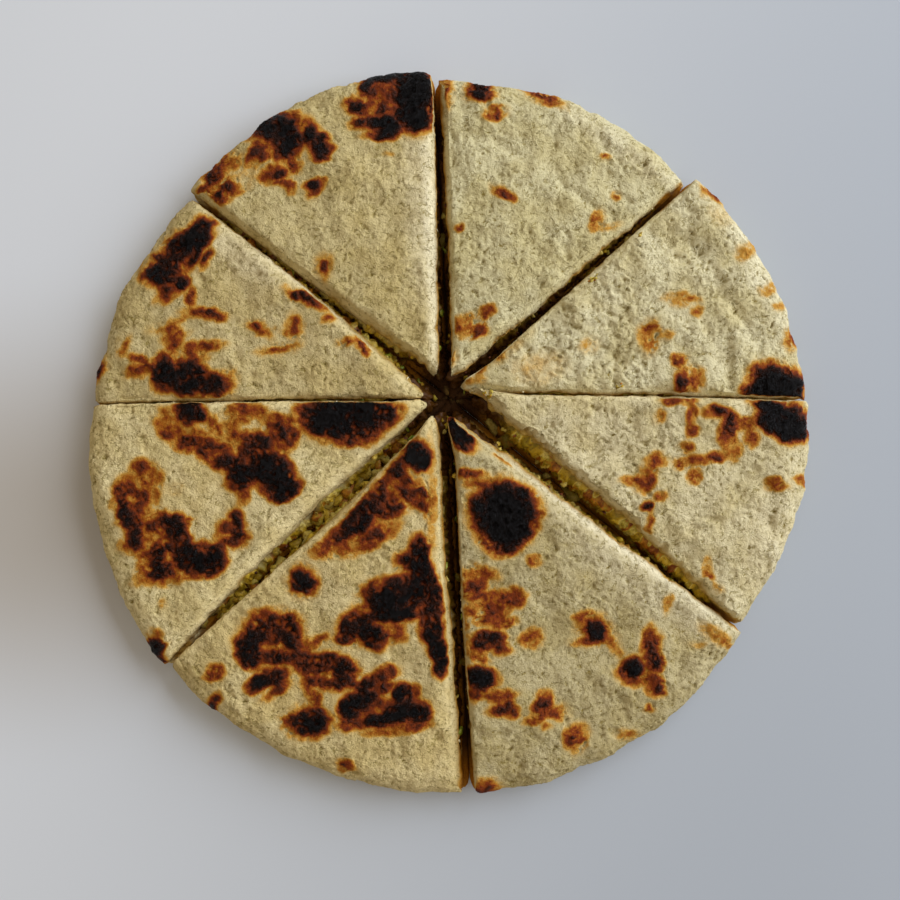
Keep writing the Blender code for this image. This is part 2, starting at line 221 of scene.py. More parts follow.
            (66.4, -11.5, 2.2, 1.8, 90, 0.46), (56.6, -7.2, 2.8, 1.7, 10, 0.5),
            (53.6, -12.2, 3.8, 2.6, 65, 0.5), (50.6, -12.9, 3.2, 1, 0, 0.43), (57.4, -17, 2, 1.4, 20, 0.28),
            (53.5, -19.6, 1.3, 1.2, 0, 0.62), (54.2, -24, 2.8, 1.1, 80, 0.32), (52, -27, 2, 0.9, 0, 0.43),
            (70.4, -36.8, 3, 1.4, 95, 0.4), (70.9, -39.2, 1, 0.9, 0, 0.6), (73, -42, 1.9, 1.3, -30, 0.25),
            (89, -14, 2.8, 1.9, -10, 0.38), (94.8, -12.5, 1.2, 1, 0, 0.42),
        ],
        "paintedHighlights": [(87, -26, 16, 5, 80, 0.25)],
        "creased": [
            ((84, -6), (87, -22), (83, -40), -0.3, 5), ((46, -6), (52, -18), (60, -30), 0.4, 5),
            ((27.3, 2.6), (28.3, 2), (27.3, 1.4), 0.5, 0.7),
            ((69.7, -23), (73, -23.8), (76.5, -23.6), 0.3, 0.8), ((34, -4), (37, -6), (41, -5), 0.3, 1.4),
            ((84, -4), (87, -6), (90, -5), 0.35, 1.8), ((86, -12), (86.5, -15), (88, -17), 0.5, 1.5),
            ((68, -23), (75, -24), (80, -27), 0.25, 0.9), ((63, -24), (68, -27), (76, -26), 0.25, 0.9),
            ((50, 6), (51, 3), (50, 1), 0.3, 0.9), ((40, 8), (41, 4), (38, 1), 0.25, 1),
            ((88, -22), (87, -25), (89, -27), 0.35, 1.4),
        ],
        "edges": (
            {"drop": 0.5, "width": 1.6, "apron": 0.3, "torn": 1.2, "soakedAndShaded": 0, "reach": (0, 0, 0)},
            {"drop": 0.3, "width": 1, "apron": 0.4, "torn": 0.1, "soakedAndShaded": 0.5, "reach": (0.6, 0.5, 0.6)},
        ),
        "tip": (-4.4, 1.8),
    },
    "wedge_5": {
        "cuts": (-87.1, -38.9), "rough": 1.15, "skin": "#c0b182", "heat": 1.15,
        "scorched": [
            (17, -27.6, 6.4, 4, 35, 1.05), (7.6, -14, 2.4, 1.4, 0, 0.6), (8, -41, 3.2, 2.2, 0, 0.62),
            (8, -44.2, 3, 1.2, 0, 0.7), (13, -51, 4, 1.5, 0, 0.64), (13, -59, 3, 1.2, 0, 0.58),
            (39.6, -56.4, 4.4, 1.5, 5, 0.82), (29.6, -76, 2.8, 1.9, 0, 0.58), (35, -84, 2.8, 1.2, 25, 0.52),
            (4.8, -1, 3.8, 3, -30, 1.1), (3.2, 2.2, 1.8, 1.4, 0, 1), (5.6, -11, 3.8, 1.3, 0, 0.66),
            (14.5, -5.8, 1.8, 0.8, -25, 0.4), (17, -7.8, 1.2, 0.7, -30, 0.36),
            (15, -21.4, 8.6, 8.3, 0, 1.1), (23, -34.6, 1.9, 1.5, 0, 0.5), (8.4, -38.4, 4.2, 2.4, -10, 0.66),
            (7, -42, 4.2, 1.7, 0, 0.62), (13, -45.5, 6, 3.2, 8, 0.62), (17.6, -44.4, 3, 2.4, 0, 0.56),
            (12, -49, 3.8, 1.8, 20, 0.56), (6, -48.5, 2.8, 1.3, 0, 0.5), (4.6, -52.5, 2.2, 1.2, 80, 0.42),
            (11, -56.6, 4.4, 2.8, 5, 0.76), (8, -60.4, 3.2, 1.4, -20, 0.5),
            (22.5, -55.6, 2.9, 2.4, 10, 0.56), (8.8, -66.2, 4, 2.8, -10, 1.03),
            (6.8, -70.4, 2.6, 2.2, 90, 0.6), (13.5, -71, 4, 1.5, 10, 0.52),
            (14.8, -75.3, 3.8, 1.7, 0, 0.64), (15.6, -73, 2.2, 1.9, 90, 0.52),
            (25.4, -73.4, 3.2, 2.5, 60, 0.57), (29, -76.2, 2.8, 1.3, -25, 0.5),
            (24, -77.4, 3, 1.2, 10, 0.5), (26.6, -79.8, 1.4, 0.9, 0, 0.38),
            (34.6, -82.8, 3.8, 3.1, 75, 0.5), (39.8, -53.8, 3.3, 2.7, -15, 1.06),
            (39.4, -53, 5.2, 4.2, -25, 0.42), (36.4, -49.8, 2.2, 1.1, 20, 0.5),
            (44.6, -57.6, 3.2, 1.4, -50, 0.56), (49.8, -63.8, 3.2, 2.8, 0, 0.95),
            (50, -65, 4.4, 3.6, 0, 0.5), (54.9, -57.4, 4.4, 2.4, 90, 0.74), (56, -62.6, 2.6, 2.2, 90, 0.62),
            (55.8, -68.4, 3.2, 2.2, -55, 0.6), (54, -74.7, 1.1, 0.8, 0, 0.45),
            (48.3, -81.3, 2.1, 0.9, 10, 0.52), (59.5, -46.3, 2.6, 1.3, 80, 0.3),
            (72, -54.6, 5, 2, -35, 0.22), (74.6, -57, 1.1, 0.9, 0, 0.46), (68, -57.5, 2.6, 1.2, 0, 0.2),
            (10.5, -95.4, 3, 1.4, 0, 0.76),
        ],
        "paintedHighlights": [(47, -30, 37, 2.2, -38, 0.6), (50, -37, 34, 6, -38, 0.22), (68, -50, 9, 5, -40, 0.3)],
        "creased": [
            ((58, -37), (66, -45), (75, -51), -0.5, 4), ((44, -36), (45, -44), (42, -52), 0.3, 5),
            ((61.8, -66.4), (62, -66.4), (62.4, -66), 0.5, 0.9),
            ((39.9, -41), (37, -43), (35.8, -45.7), 0.35, 1), ((28, -18), (31, -21), (33, -26), 0.35, 2),
            ((35, -46), (38, -42), (44, -39), 0.45, 1.5), ((22, -43), (25, -47), (29, -48), 0.35, 1.4),
            ((26, -27), (28, -30), (27, -33), 0.45, 2), ((46, -71), (48, -75), (49, -80), 0.25, 1),
            ((62, -55), (64, -60), (63, -66), 0.35, 1.6), ((11, -10), (13, -9), (15, -10), 0.4, 1.4),
        ],
        "edges": (
            {"drop": 0.3, "width": 1, "apron": 0.5, "torn": 0.1, "soakedAndShaded": 1, "reach": (0.4, 0.5, 0.7)},
            {"drop": 1.5, "width": 3.4, "apron": 0.8, "torn": 0.4, "soakedAndShaded": 0.8, "reach": (-0.3, -0.2, 0)},
        ),
        "tip": (-1.8, 1.2),
    },
    "wedge_6": {
        "cuts": (-136.2, -87.1), "rough": 1, "skin": "#d4c088", "heat": 0.92,
        "scorched": [
            (-3.2, -22, 20, 2, 88, 0.24), (-5, -6.8, 2.4, 1.7, 85, 0.85), (-46, -61.4, 5.6, 2.3, -8, 0.9),
            (-37.5, -65.2, 6, 2.7, -35, 0.95), (-29, -68, 4.8, 1.8, 0, 0.86),
            (-16, -21.6, 5.4, 2, 20, 0.82), (-8, -19.2, 2.8, 1.8, 0, 0.78), (-28, -31, 5.6, 1.8, 25, 0.5),
            (-22, -57, 3.4, 1.5, -20, 0.86), (-46.5, -70, 3.8, 1.4, 30, 0.7),
            (-44, -78.6, 1.9, 1.5, 0, 0.82), (-20, -74, 3.8, 1.3, 20, 0.6),
            (-7.6, -6.5, 3.7, 3.3, 20, 1.06), (-13.6, -11, 3.2, 2.2, 40, 0.9),
            (-10, -13.2, 3, 1.4, 0, 0.62), (-17.6, -14.4, 3.4, 1.8, 30, 0.85),
            (-19, -18.1, 4.8, 2.7, 10, 0.95), (-23.8, -23.5, 5.6, 3.7, 45, 0.97),
            (-28.3, -27, 4.4, 2.6, 50, 0.82), (-32, -30.6, 3.8, 1.9, 35, 0.66),
            (-35.6, -32, 2.6, 1.2, 20, 0.52), (-11.4, -16, 3.8, 1.9, -20, 0.82),
            (-6.8, -16.8, 2.6, 1.7, -50, 0.74), (-5.7, -20.6, 1.9, 1.2, 90, 0.62),
            (-16.8, -26.6, 4.6, 2.4, 30, 0.46), (-22.2, -30, 5.2, 2, 25, 0.52),
            (-27.8, -32.2, 2.8, 1.5, 20, 0.42), (-14.6, -20.8, 4.2, 1.7, 0, 0.52),
            (-20.5, -27, 3, 1.6, 30, 0.62), (-39.2, -40.4, 3.6, 3.2, 90, 1.1),
            (-39.2, -40.4, 4.8, 4.4, 90, 0.45), (-7.2, -31.8, 3.9, 3.1, 95, 1.04),
            (-10.8, -34.8, 3.2, 2.4, 0, 1), (-7, -38.2, 4.8, 3.6, 90, 1.08),
            (-11.4, -43.4, 8.2, 4.9, 8, 1.1), (-18, -45.2, 5, 3.4, 20, 1.04),
            (-21.4, -43.6, 3.2, 2.4, 0, 0.82), (-23, -46.8, 2.4, 1.4, 10, 0.7),
            (-20.4, -40.9, 2.6, 1.6, 30, 0.62), (-4, -42, 6.2, 3, 95, 1.06), (-2.2, -46.6, 5, 2, 90, 0.8),
            (-13, -48.9, 4.6, 2, 0, 1.02), (-18, -49.6, 3.2, 1.5, 0, 0.9), (-24.9, -52, 4.7, 4, 20, 1.06),
            (-21.1, -54.4, 4.6, 3, -20, 1.02), (-28.2, -55.8, 2.6, 2.1, 0, 0.9),
            (-15, -53.6, 3.6, 3.2, 0, 0.5), (-4.3, -51.6, 5.2, 3.5, 95, 1.06),
            (-2.7, -57, 4.6, 2.5, 92, 1.02), (-1.9, -61.8, 3.6, 1.8, 90, 0.96),
            (-8.6, -49.4, 2.8, 1.2, 30, 0.55), (-48, -53.4, 7, 4.6, 5, 0.93),
            (-53.8, -57, 4.6, 3.4, 60, 0.96), (-53.3, -61.4, 3, 2.3, 0, 0.86),
            (-42.6, -55, 3.8, 2.8, 80, 1), (-43.7, -50.6, 3.2, 1.9, 0, 0.86),
            (-48.4, -55.4, 9.4, 6.8, 25, 0.42), (-37, -57, 4.2, 1.6, 15, 0.64),
            (-34.8, -56, 2.2, 1.2, 30, 0.6), (-40.4, -59.8, 3.6, 1.9, 0, 0.78),
            (-37.8, -62.4, 4.2, 2.9, 0, 0.74), (-32.3, -62.8, 5.2, 3.1, -5, 0.92),
            (-28, -64.4, 3.5, 3.1, 0, 1.02), (-44.7, -60.3, 3.4, 1.5, 0, 0.56),
            (-48, -66.7, 4.3, 2.2, 10, 0.98), (-51.5, -67.8, 2.6, 2.1, 0, 0.76),
            (-53.6, -69, 2.1, 1.6, 0, 0.6), (-45.4, -65, 2.6, 1.6, 0, 0.62), (-49, -64.4, 3.4, 1, 0, 0.56),
            (-38.2, -68.8, 2.8, 2, 90, 0.58), (-37, -72.6, 2.6, 2, 80, 0.56),
            (-34.2, -67.2, 2.6, 1.5, 0, 0.52), (-38.2, -78.6, 4.5, 3.3, 5, 1.06),
            (-38.2, -78.4, 6.2, 4.8, 5, 0.42), (-42.8, -77.4, 1.8, 1.3, 0, 0.6),
            (-18.6, -65.8, 4.3, 2.1, 30, 0.64), (-22.2, -68.3, 3.4, 2, 35, 0.8),
            (-17.6, -68.9, 2.6, 1.6, 10, 0.62), (-15.8, -64.6, 2.4, 1.5, 0, 0.55),
            (-23, -72.6, 4.7, 2.5, 25, 0.97), (-26.9, -75.3, 3.6, 2.8, 95, 0.97),
            (-11.8, -71.6, 3.5, 3.1, 90, 1.06), (-11.8, -75.3, 5.4, 2.6, 10, 1.02),
            (-7.4, -76, 2.7, 2.5, 0, 0.92), (-17.8, -77.4, 5.4, 1.9, 8, 0.97),
            (-22.8, -78.6, 2.9, 1.3, 10, 0.76), (-15, -80.6, 7.4, 1.5, 5, 0.46),
            (-28, -80, 2.4, 1.2, 0, 0.45), (-8, -78.8, 3.2, 1.6, 0, 0.6), (-15.6, -74.9, 2.6, 2.2, 0, 0.78),
            (-18.6, -73.4, 2.4, 1, 30, 0.5), (-63.4, -65, 2.6, 2.4, 0, 0.42),
            (-62.9, -72.6, 1.9, 1.2, 80, 0.82), (-28, -89.9, 1.7, 0.9, -15, 0.74),
            (-38, -68, 20, 11, 10, 0.08),
        ],
        "creased": [
            ((-41, -37), (-53, -47), (-68, -60), 0.3, 1), ((-30, -86), (-20, -88), (-9, -90), 0.2, 2),
        ],
        "edges": (
            {"drop": 0.5, "width": 2.6, "apron": 0.8, "torn": 0.1, "soakedAndShaded": 0.4, "reach": (1.5, 0.3, 1.4)},
            {"drop": 1.5, "width": 4.5, "apron": 0.6, "torn": 0.15, "soakedAndShaded": 0.95,
             "reach": (-1.5, -1.8, -0.3)},
        ),
    },
    "wedge_7": {
        "cuts": (-178.9, -136.2), "rough": 0.85, "skin": "#dcca93", "heat": 0.9,
        "scorched": [
            (-86.5, -12, 2.8, 1.2, 0, 0.6), (-90.4, -16.4, 2.2, 1.1, 90, 0.75),
            (-84, -19.2, 3.8, 1.2, 0, 0.76), (-79.6, -17.4, 2, 1.2, 90, 0.7), (-79, -27, 1.6, 1.5, 0, 0.86),
            (-83, -33, 1.8, 1.2, 0, 0.82), (-59, -29.6, 3.4, 1.5, -20, 0.82),
            (-66, -6, 3.8, 1.4, -40, 0.86), (-73, -3.4, 2, 1.2, -40, 0.8), (-78, -40, 4.2, 1.5, 0, 0.5),
            (-63, 0.4, 2.4, 1.7, 90, 0.6), (-26.6, 4.2, 12.6, 6.2, 0, 1.1), (-25, -2.6, 7.2, 1.6, 0, 0.62),
            (-70.8, 5.7, 3.8, 3.7, 0, 0.96), (-68, 4.6, 2.6, 2.1, 0, 0.86), (-77.2, 2.6, 4, 2.8, 95, 0.46),
            (-75.1, 0.9, 2.8, 2.4, 40, 0.72), (-72.4, -1.2, 2.6, 1.6, -20, 0.7),
            (-70.3, -2.5, 3.4, 2.1, 0, 0.86), (-65.8, -3, 3.2, 1.8, 0, 0.78),
            (-67.6, -0.2, 2.2, 1.4, 0, 0.6), (-64.2, 2, 2.6, 1.9, 80, 0.52), (-55, 5, 5.8, 2.6, 0, 0.45),
            (-59.5, 2, 2.8, 1.9, 0, 0.56), (-58.4, -0.9, 2.6, 1.6, 0, 0.68), (-61.6, -4, 4.2, 1.6, 0, 0.62),
            (-63.4, -5.8, 3.4, 1.4, -20, 0.6), (-59.5, -7.8, 4.2, 2.6, 0, 0.92),
            (-63, -9.2, 2.6, 1.3, -35, 0.5), (-55, -5.6, 3.4, 2.5, 90, 0.56),
            (-51.9, -3.4, 4.2, 3.6, 20, 0.96), (-54.2, -1.8, 2.8, 1.9, 0, 0.8), (-46, 0.3, 3, 2.6, 0, 0.8),
            (-42.6, -1.4, 2.4, 1.9, 80, 0.78), (-46, 2.8, 3.6, 1.8, 10, 0.52), (-46, -4, 3.4, 1.9, 0, 0.52),
            (-48.7, -9.4, 5.6, 4.3, -10, 1.02), (-50.8, -6.2, 3.2, 3, 0, 0.93),
            (-54.6, -11, 5.2, 3, 0, 0.96), (-57.4, -13.2, 3.4, 2.2, 0, 0.9),
            (-44.9, -13.2, 4.7, 3.9, -30, 1.09), (-43.2, -16, 3, 2.7, 0, 1.06),
            (-45.6, -17.2, 2.6, 1.8, 0, 0.92), (-55.8, -15.6, 3.6, 2.2, 90, 0.45),
            (-44.2, -8.8, 2.9, 1.6, -20, 0.52), (-50, -15.4, 3, 1.2, -30, 0.5),
            (-84.2, -9.4, 2.8, 2.2, 20, 0.62), (-81.4, -12.4, 4.6, 3.8, 90, 0.42),
            (-88.1, -14.9, 2.7, 2.5, 0, 0.82), (-83.2, -17, 2.9, 2.1, 0, 0.84),
            (-88.2, -20.4, 4.4, 2.1, 93, 0.93), (-85.4, -25.8, 4.3, 2.7, 100, 0.94),
            (-83.6, -22.2, 3.6, 3, 0, 0.55), (-84.8, -30, 2.5, 2, 0, 0.9), (-87.2, -30.5, 2.2, 2, 0, 0.52),
            (-80.6, -25.2, 2.5, 2.1, 0, 0.86), (-77.4, -22.9, 3.2, 1.9, 0, 0.82),
            (-82, -28.6, 2.6, 1.8, 0, 0.55), (-74.6, -25.1, 3.8, 3.2, 0, 0.97),
            (-72.2, -23.4, 2.9, 1.8, -20, 0.86), (-73.5, -29.4, 4.5, 3.4, 95, 1.03),
            (-71.2, -33.7, 4.2, 3.8, -40, 1.07), (-67, -35.4, 5.2, 2.9, 0, 1.07),
            (-63.2, -34.2, 3.2, 2.9, 60, 1.02), (-63, -31.5, 2.3, 1.7, 40, 0.86),
            (-66, -36.8, 4.2, 1.7, 0, 0.96), (-66.6, -30.4, 3.6, 1.6, -10, 0.45),
            (-78.9, -33.8, 4.6, 2.7, 92, 0.96), (-79.4, -38, 3.8, 2.3, 0, 1),
            (-76.6, -37.4, 2.6, 2.3, 0, 0.92), (-82.8, -36.4, 3.6, 2.2, 80, 0.5),
            (-79, -40.4, 5.2, 1.5, 0, 0.42), (-76.6, -30.5, 3.2, 2.6, 90, 0.62),
            (-69, -38.6, 6, 1.4, 0, 0.42), (-57.3, -25.2, 3.9, 2.1, 100, 0.99),
            (-60.5, -25.8, 2.4, 1.8, 0, 0.6), (-57.9, -22.8, 1.7, 1.6, 0, 0.86),
            (-56.2, -28, 2.2, 1.5, 0, 0.84), (-77.8, -57.6, 2.8, 1.7, -50, 0.94),
            (-78.6, -53.6, 1.4, 0.6, -20, 0.36), (-77.8, -46.6, 1.7, 0.9, 80, 0.27),
            (-75, -15, 3, 2, 0, 0.14), (-72, -20, 17, 14, 20, 0.07),
        ],
        "creased": [
            ((-40, -28), (-36, -24), (-30, -22), 0.25, 1.4), ((-66, -40), (-60, -36), (-55, -33), 0.2, 1.2),
        ],
        "edges": (
            {"drop": 0.2, "width": 0.9, "apron": 0.4, "torn": 0.1, "soakedAndShaded": 0.5, "reach": (0.4, 0.7, 0.8)},
            {"drop": 0.4, "width": 1.6, "apron": 3.2, "torn": 0.5, "soakedAndShaded": 0.3,
             "reach": (-0.9, -1.4, -1.6)},
        ),
    },
    "wedge_8": {
        "cuts": (142.2, 181.1), "rough": 1, "skin": "#cbb882", "heat": 0.92,
        "scorched": [
            (-76, 39.4, 3.4, 1.2, 0, 0.7), (-70, 37, 2.4, 1.5, 90, 0.62), (-74.6, 26, 4.6, 2.6, 90, 0.56),
            (-85, 17.4, 3.4, 1.8, 20, 0.6), (-42.4, 29, 2.8, 1.9, 90, 0.64), (-46, 22.8, 4.2, 1.3, 8, 0.62),
            (-52, 29, 1.6, 1.2, 0, 0.82), (-79, 48, 1.6, 1.2, 0, 1), (-66, 47, 2.6, 1.1, 60, 0.72),
            (-68, 54, 4.4, 3.3, 60, 1.1), (-74, 50, 5, 3.5, 45, 1.1), (-78, 44, 4.8, 3.4, 20, 1.1),
            (-72.6, 41.5, 2.4, 1.9, 0, 1), (-71.8, 45.5, 2.4, 2.1, 0, 0.45),
            (-69.2, 48, 2.8, 1.6, 60, 0.92), (-77.3, 37.3, 3.2, 1.8, 20, 0.6),
            (-67, 32.6, 2.6, 1.1, 5, 0.72), (-66.5, 32.3, 4.6, 1.5, -8, 0.6),
            (-62.6, 31.5, 1.8, 1.1, 0, 0.6), (-72.5, 31, 1.8, 0.8, 30, 0.5),
            (-77.5, 28.6, 3.4, 1.1, 5, 0.58), (-76, 26.3, 2.6, 1.4, 30, 0.5),
            (-72.6, 26.2, 1.6, 0.7, 20, 0.56), (-66.5, 23.6, 4.8, 1.7, 5, 0.55),
            (-69.5, 22.4, 2, 1.8, 0, 0.62), (-88.8, 23.8, 2.7, 1.6, 70, 0.56),
            (-84.5, 20.2, 3.2, 1.4, -35, 0.62), (-84.5, 16, 2.4, 0.8, 15, 0.46),
            (-81, 17.8, 2, 1.3, 0, 0.72), (-77.3, 16.2, 4.7, 3.2, 90, 1.1), (-70.5, 14.3, 5.6, 4.2, 0, 1.1),
            (-63.8, 13.6, 4.2, 3, 0, 1.06), (-71, 19.4, 4.6, 1.6, 10, 0.76),
            (-58.5, 14, 3.4, 1.9, 90, 0.24), (-51.2, 27.9, 2.8, 1.2, -25, 0.82),
            (-46.8, 28.4, 0.6, 0.5, 0, 0.34), (-41.4, 28.2, 2.5, 1.7, -60, 0.62),
            (-42, 30.6, 1.6, 0.9, 90, 0.56), (-44, 27.3, 1.2, 0.8, 0, 0.46), (-47, 22.5, 3.8, 1.1, 8, 0.56),
            (-41.3, 23.8, 2, 0.9, 20, 0.42), (-38.6, 36, 4.2, 1.3, -28, 0.96),
            (-41.4, 37.2, 1.6, 1.2, 0, 1), (-32.7, 30.4, 1.6, 1.2, 10, 0.66),
            (-27.3, 24.6, 2.2, 1, 10, 0.5), (-23.4, 23.4, 1.9, 1.2, -60, 0.88),
            (-44.8, 39.8, 0.9, 0.7, 0, 0.28), (-95.3, 15.5, 3.2, 0.9, 68, 0.95),
        ],
        "paintedHighlights": [(-34, 37, 32, 1.8, -38, 0.45), (-56, 48, 10, 4, -37, 0.25)],
        "creased": [
            ((-54, 15.8), (-53.5, 15.8), (-53, 16), 0.4, 0.8),
            ((-47.5, 16), (-47, 16), (-46.5, 16), 0.4, 0.8),
            ((-58, 46.4), (-57.5, 46), (-57, 45.6), 0.4, 0.8),
            ((-59.4, 44.4), (-59, 44), (-58.6, 43.6), 0.4, 0.8),
            ((-52.4, 43), (-52, 43), (-51.6, 43), 0.4, 0.8),
            ((-67.4, 42), (-67, 42), (-66.6, 42), 0.4, 0.8),
            ((-66, 29.5), (-60, 30), (-54, 30.5), 0.3, 0.8), ((-83, 34), (-80, 33), (-78, 34), 0.3, 0.9),
            ((-86, 50), (-82, 54), (-78, 58), 0.35, 1.2), ((-57, 26), (-59, 23), (-58, 21), 0.35, 1.1),
        ],
        "edges": (
            {"drop": 1, "width": 2.6, "apron": 0.4, "torn": 0.15, "soakedAndShaded": 0.3, "reach": (-0.4, 0.5, 0.6)},
            {"drop": 0.4, "width": 1.8, "apron": 0.4, "torn": 0.1, "soakedAndShaded": 0.5, "reach": (0, 0.1, 0.2)},
        ),
    },
}

scorchShape = {
    "softEdge": 0.36, "softShare": 0.1,  # a mark cools over this many mm and this share of its half width
    "margin": 4.0,  # mm round a mark in which it is worked out
    "wander": ((8.0, 0.5), (3.2, 0.8), (1.3, 0.22)),  # its outline strays: (size, by how much), mm
    "blend": 3.0,  # how touching marks add up
    "rimFrom": 93.0, "rimPull": 0.45,  # mm from the middle where a mark turns down the rim, and how fast
}


def strayed(places, seed):
    # plan points in mm, moved a little, so that a mark's outline turns out ragged
    radius = np.linalg.norm(places[:, :2], axis=1, keepdims=True)
    overRim = np.maximum(radius - scorchShape["rimFrom"], 0) * scorchShape["rimPull"]
    moved = places[:, :2] * (1 - overRim / np.maximum(radius, 1))  # a mark at the rim runs down its side
    for turn, (size, reach) in enumerate(scorchShape["wander"]):
        moved += softPush(places, size, seed + turn * 7) * reach
    return moved


def scorchAt(places, marks, seed):
    # how far the dough is burnt at these points, in mm, from 0 to about 1.1
    plan = strayed(places, seed)
    total = np.zeros(len(places))
    for x, y, halfLong, halfWide, turn, heat in marks:
        cos, sin = math.cos(math.radians(turn)), math.sin(math.radians(turn))
        aside = plan - (x, y)
        near = np.nonzero(np.abs(aside).max(axis=1) < halfLong + scorchShape["margin"])[0]
        along = (aside[near, 0] * cos + aside[near, 1] * sin) / halfLong
        across = (aside[near, 1] * cos - aside[near, 0] * sin) / halfWide
        outside = (np.hypot(along, across) - 1) * halfWide
        soften = scorchShape["softEdge"] + scorchShape["softShare"] * halfWide
        burnt = heat / (1 + np.exp(np.clip(outside / soften, -30, 30)))
        total[near] += burnt ** scorchShape["blend"]
    return total ** (1 / scorchShape["blend"])


def creaseAt(places, creases):
    # how deep the folds are at these points, in mm
    depth = np.zeros(len(places))
    for start, middle, end, deep, halfWide in creases:
        away = np.full(len(places), farAway)
        for share in np.linspace(0, 1, 13):
            bend = [(1 - share) ** 2 * a + 2 * share * (1 - share) * b + share**2 * c
                    for a, b, c in zip(start, middle, end)]
            fade = 0.5 * halfWide * abs(2 * share - 1) ** 3
            away = np.minimum(away, np.hypot(places[:, 0] - bend[0], places[:, 1] - bend[1]) + fade)
        depth += deep * np.exp(-((away / halfWide) ** 2))
    return depth


def pointsOf(mesh, what="co"):
    values = np.empty(len(mesh.vertices) * 3, np.float32)
    mesh.vertices.foreach_get(what, values)
    return values.reshape(-1, 3).astype(float)


def setPoints(mesh, points):
    mesh.vertices.foreach_set("co", points.astype(np.float32).ravel())
    mesh.update()


def setAttribute(mesh, name, values):
    # one number for each point, or one colour
    single = values.ndim == 1
    made = mesh.attributes.new(name, "FLOAT" if single else "FLOAT_COLOR", "POINT")
    made.data.foreach_set("value" if single else "color", values.astype(np.float32).ravel())


def evenMesh(node, voxel):
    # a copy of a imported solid, merged and rebuilt in small even squares
    shape = bmesh.new()
    shape.from_mesh(node.data)
    bmesh.ops.remove_doubles(shape, verts=shape.verts, dist=0.001 * mm)
    merged = bpy.data.meshes.new("merged")
    shape.to_mesh(merged)
    shape.free()
    holder = bpy.data.objects.new("holder", merged)
    bpy.context.scene.collection.objects.link(holder)
    even = holder.modifiers.new("even", "REMESH")
    even.mode = "VOXEL"
    even.voxel_size = voxel
    graph = bpy.context.evaluated_depsgraph_get()
    mesh = bpy.data.meshes.new_from_object(holder.evaluated_get(graph))
    bpy.data.objects.remove(holder)
    bpy.data.meshes.remove(merged)
    return mesh


def treeOf(node, wayOut=None):
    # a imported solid's faces, or only those that face this way in plan, for finding the nearest
    faces = [face.vertices[:] for face in node.data.polygons
             if wayOut is None or face.normal.x * wayOut[0] + face.normal.y * wayOut[1] > 0.75]
    return BVHTree.FromPolygons([vertex.co for vertex in node.data.vertices], faces)


def awayFrom(points, *trees):
    # how far each point, in mm, is from the nearest face of these
    spots = [Vector(point) for point in points * mm]
    return np.array([min(tree.find_nearest(spot)[3] for tree in trees) for spot in spots]) / mm


def refineWhere(mesh, shows):
    # cuts the faces whose points all show into quarters
    shape = bmesh.new()
    shape.from_mesh(mesh)
    edges = {edge for face in shape.faces if all(shows[point.index] for point in face.verts)
             for edge in face.edges}
    bmesh.ops.subdivide_edges(shape, edges=list(edges), cuts=1, use_grid_fill=True)
    bmesh.ops.triangulate(shape, faces=[face for face in shape.faces if len(face.verts) > 4])
    shape.to_mesh(mesh)
    shape.free()


def newPiece(name, mesh, material, slot, *nodes):
    mesh.name = name
    mesh.materials.clear()
    mesh.materials.append(material)
    mesh.shade_smooth()
    piece = bpy.data.objects.new(name, mesh)
    bpy.context.scene.collection.objects.link(piece)
    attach(piece, "root")
    if nodes:
        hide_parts(*nodes)
    return piece


def linear(hexColour):
    # "#rrggbb" as linear red, green, blue and alpha
    shares = [int(hexColour[i:i + 2], 16) / 255 for i in (1, 3, 5)]
    return tuple(s / 12.92 if s <= 0.04045 else ((s + 0.055) / 1.055) ** 2.4 for s in shares) + (1.0,)


def addNode(tree, kind, inputs=None, output=None, **settings):
    # adds a node with its settings, where an input is a value or another node's output. Gives back the
    # output that is asked for, or the node
    node = tree.nodes.new(kind)
    for name, value in settings.items():
        setattr(node, name, value)
    for name, value in (inputs or {}).items():
        if isinstance(value, bpy.types.NodeSocket):
            tree.links.new(value, node.inputs[name])
        else:
            node.inputs[name].default_value = value
    return node if output is None else node.outputs[output]


def newMaterial(name):
    # a material, its node tree and shader, and the place on the piece that its patterns read
    material = bpy.data.materials.new(name)
    material.use_nodes = True
    tree = material.node_tree
    return material, tree, tree.nodes["Principled BSDF"], addNode(tree, "ShaderNodeTexCoord", output="Object")


def perMetre(size):
    # a pattern's scale for lumps this many mm across
    return 1 / (size * mm)


def setStops(ramp, stops):
    # stops: (place, "#rrggbb") from low to high
    elements = ramp.color_ramp.elements
    for place, _ in stops[len(elements):]:
        elements.new(place)
    for element, (place, colour) in zip(elements, stops):
        element.position = place
        element.color = linear(colour)
    return ramp.outputs["Color"]


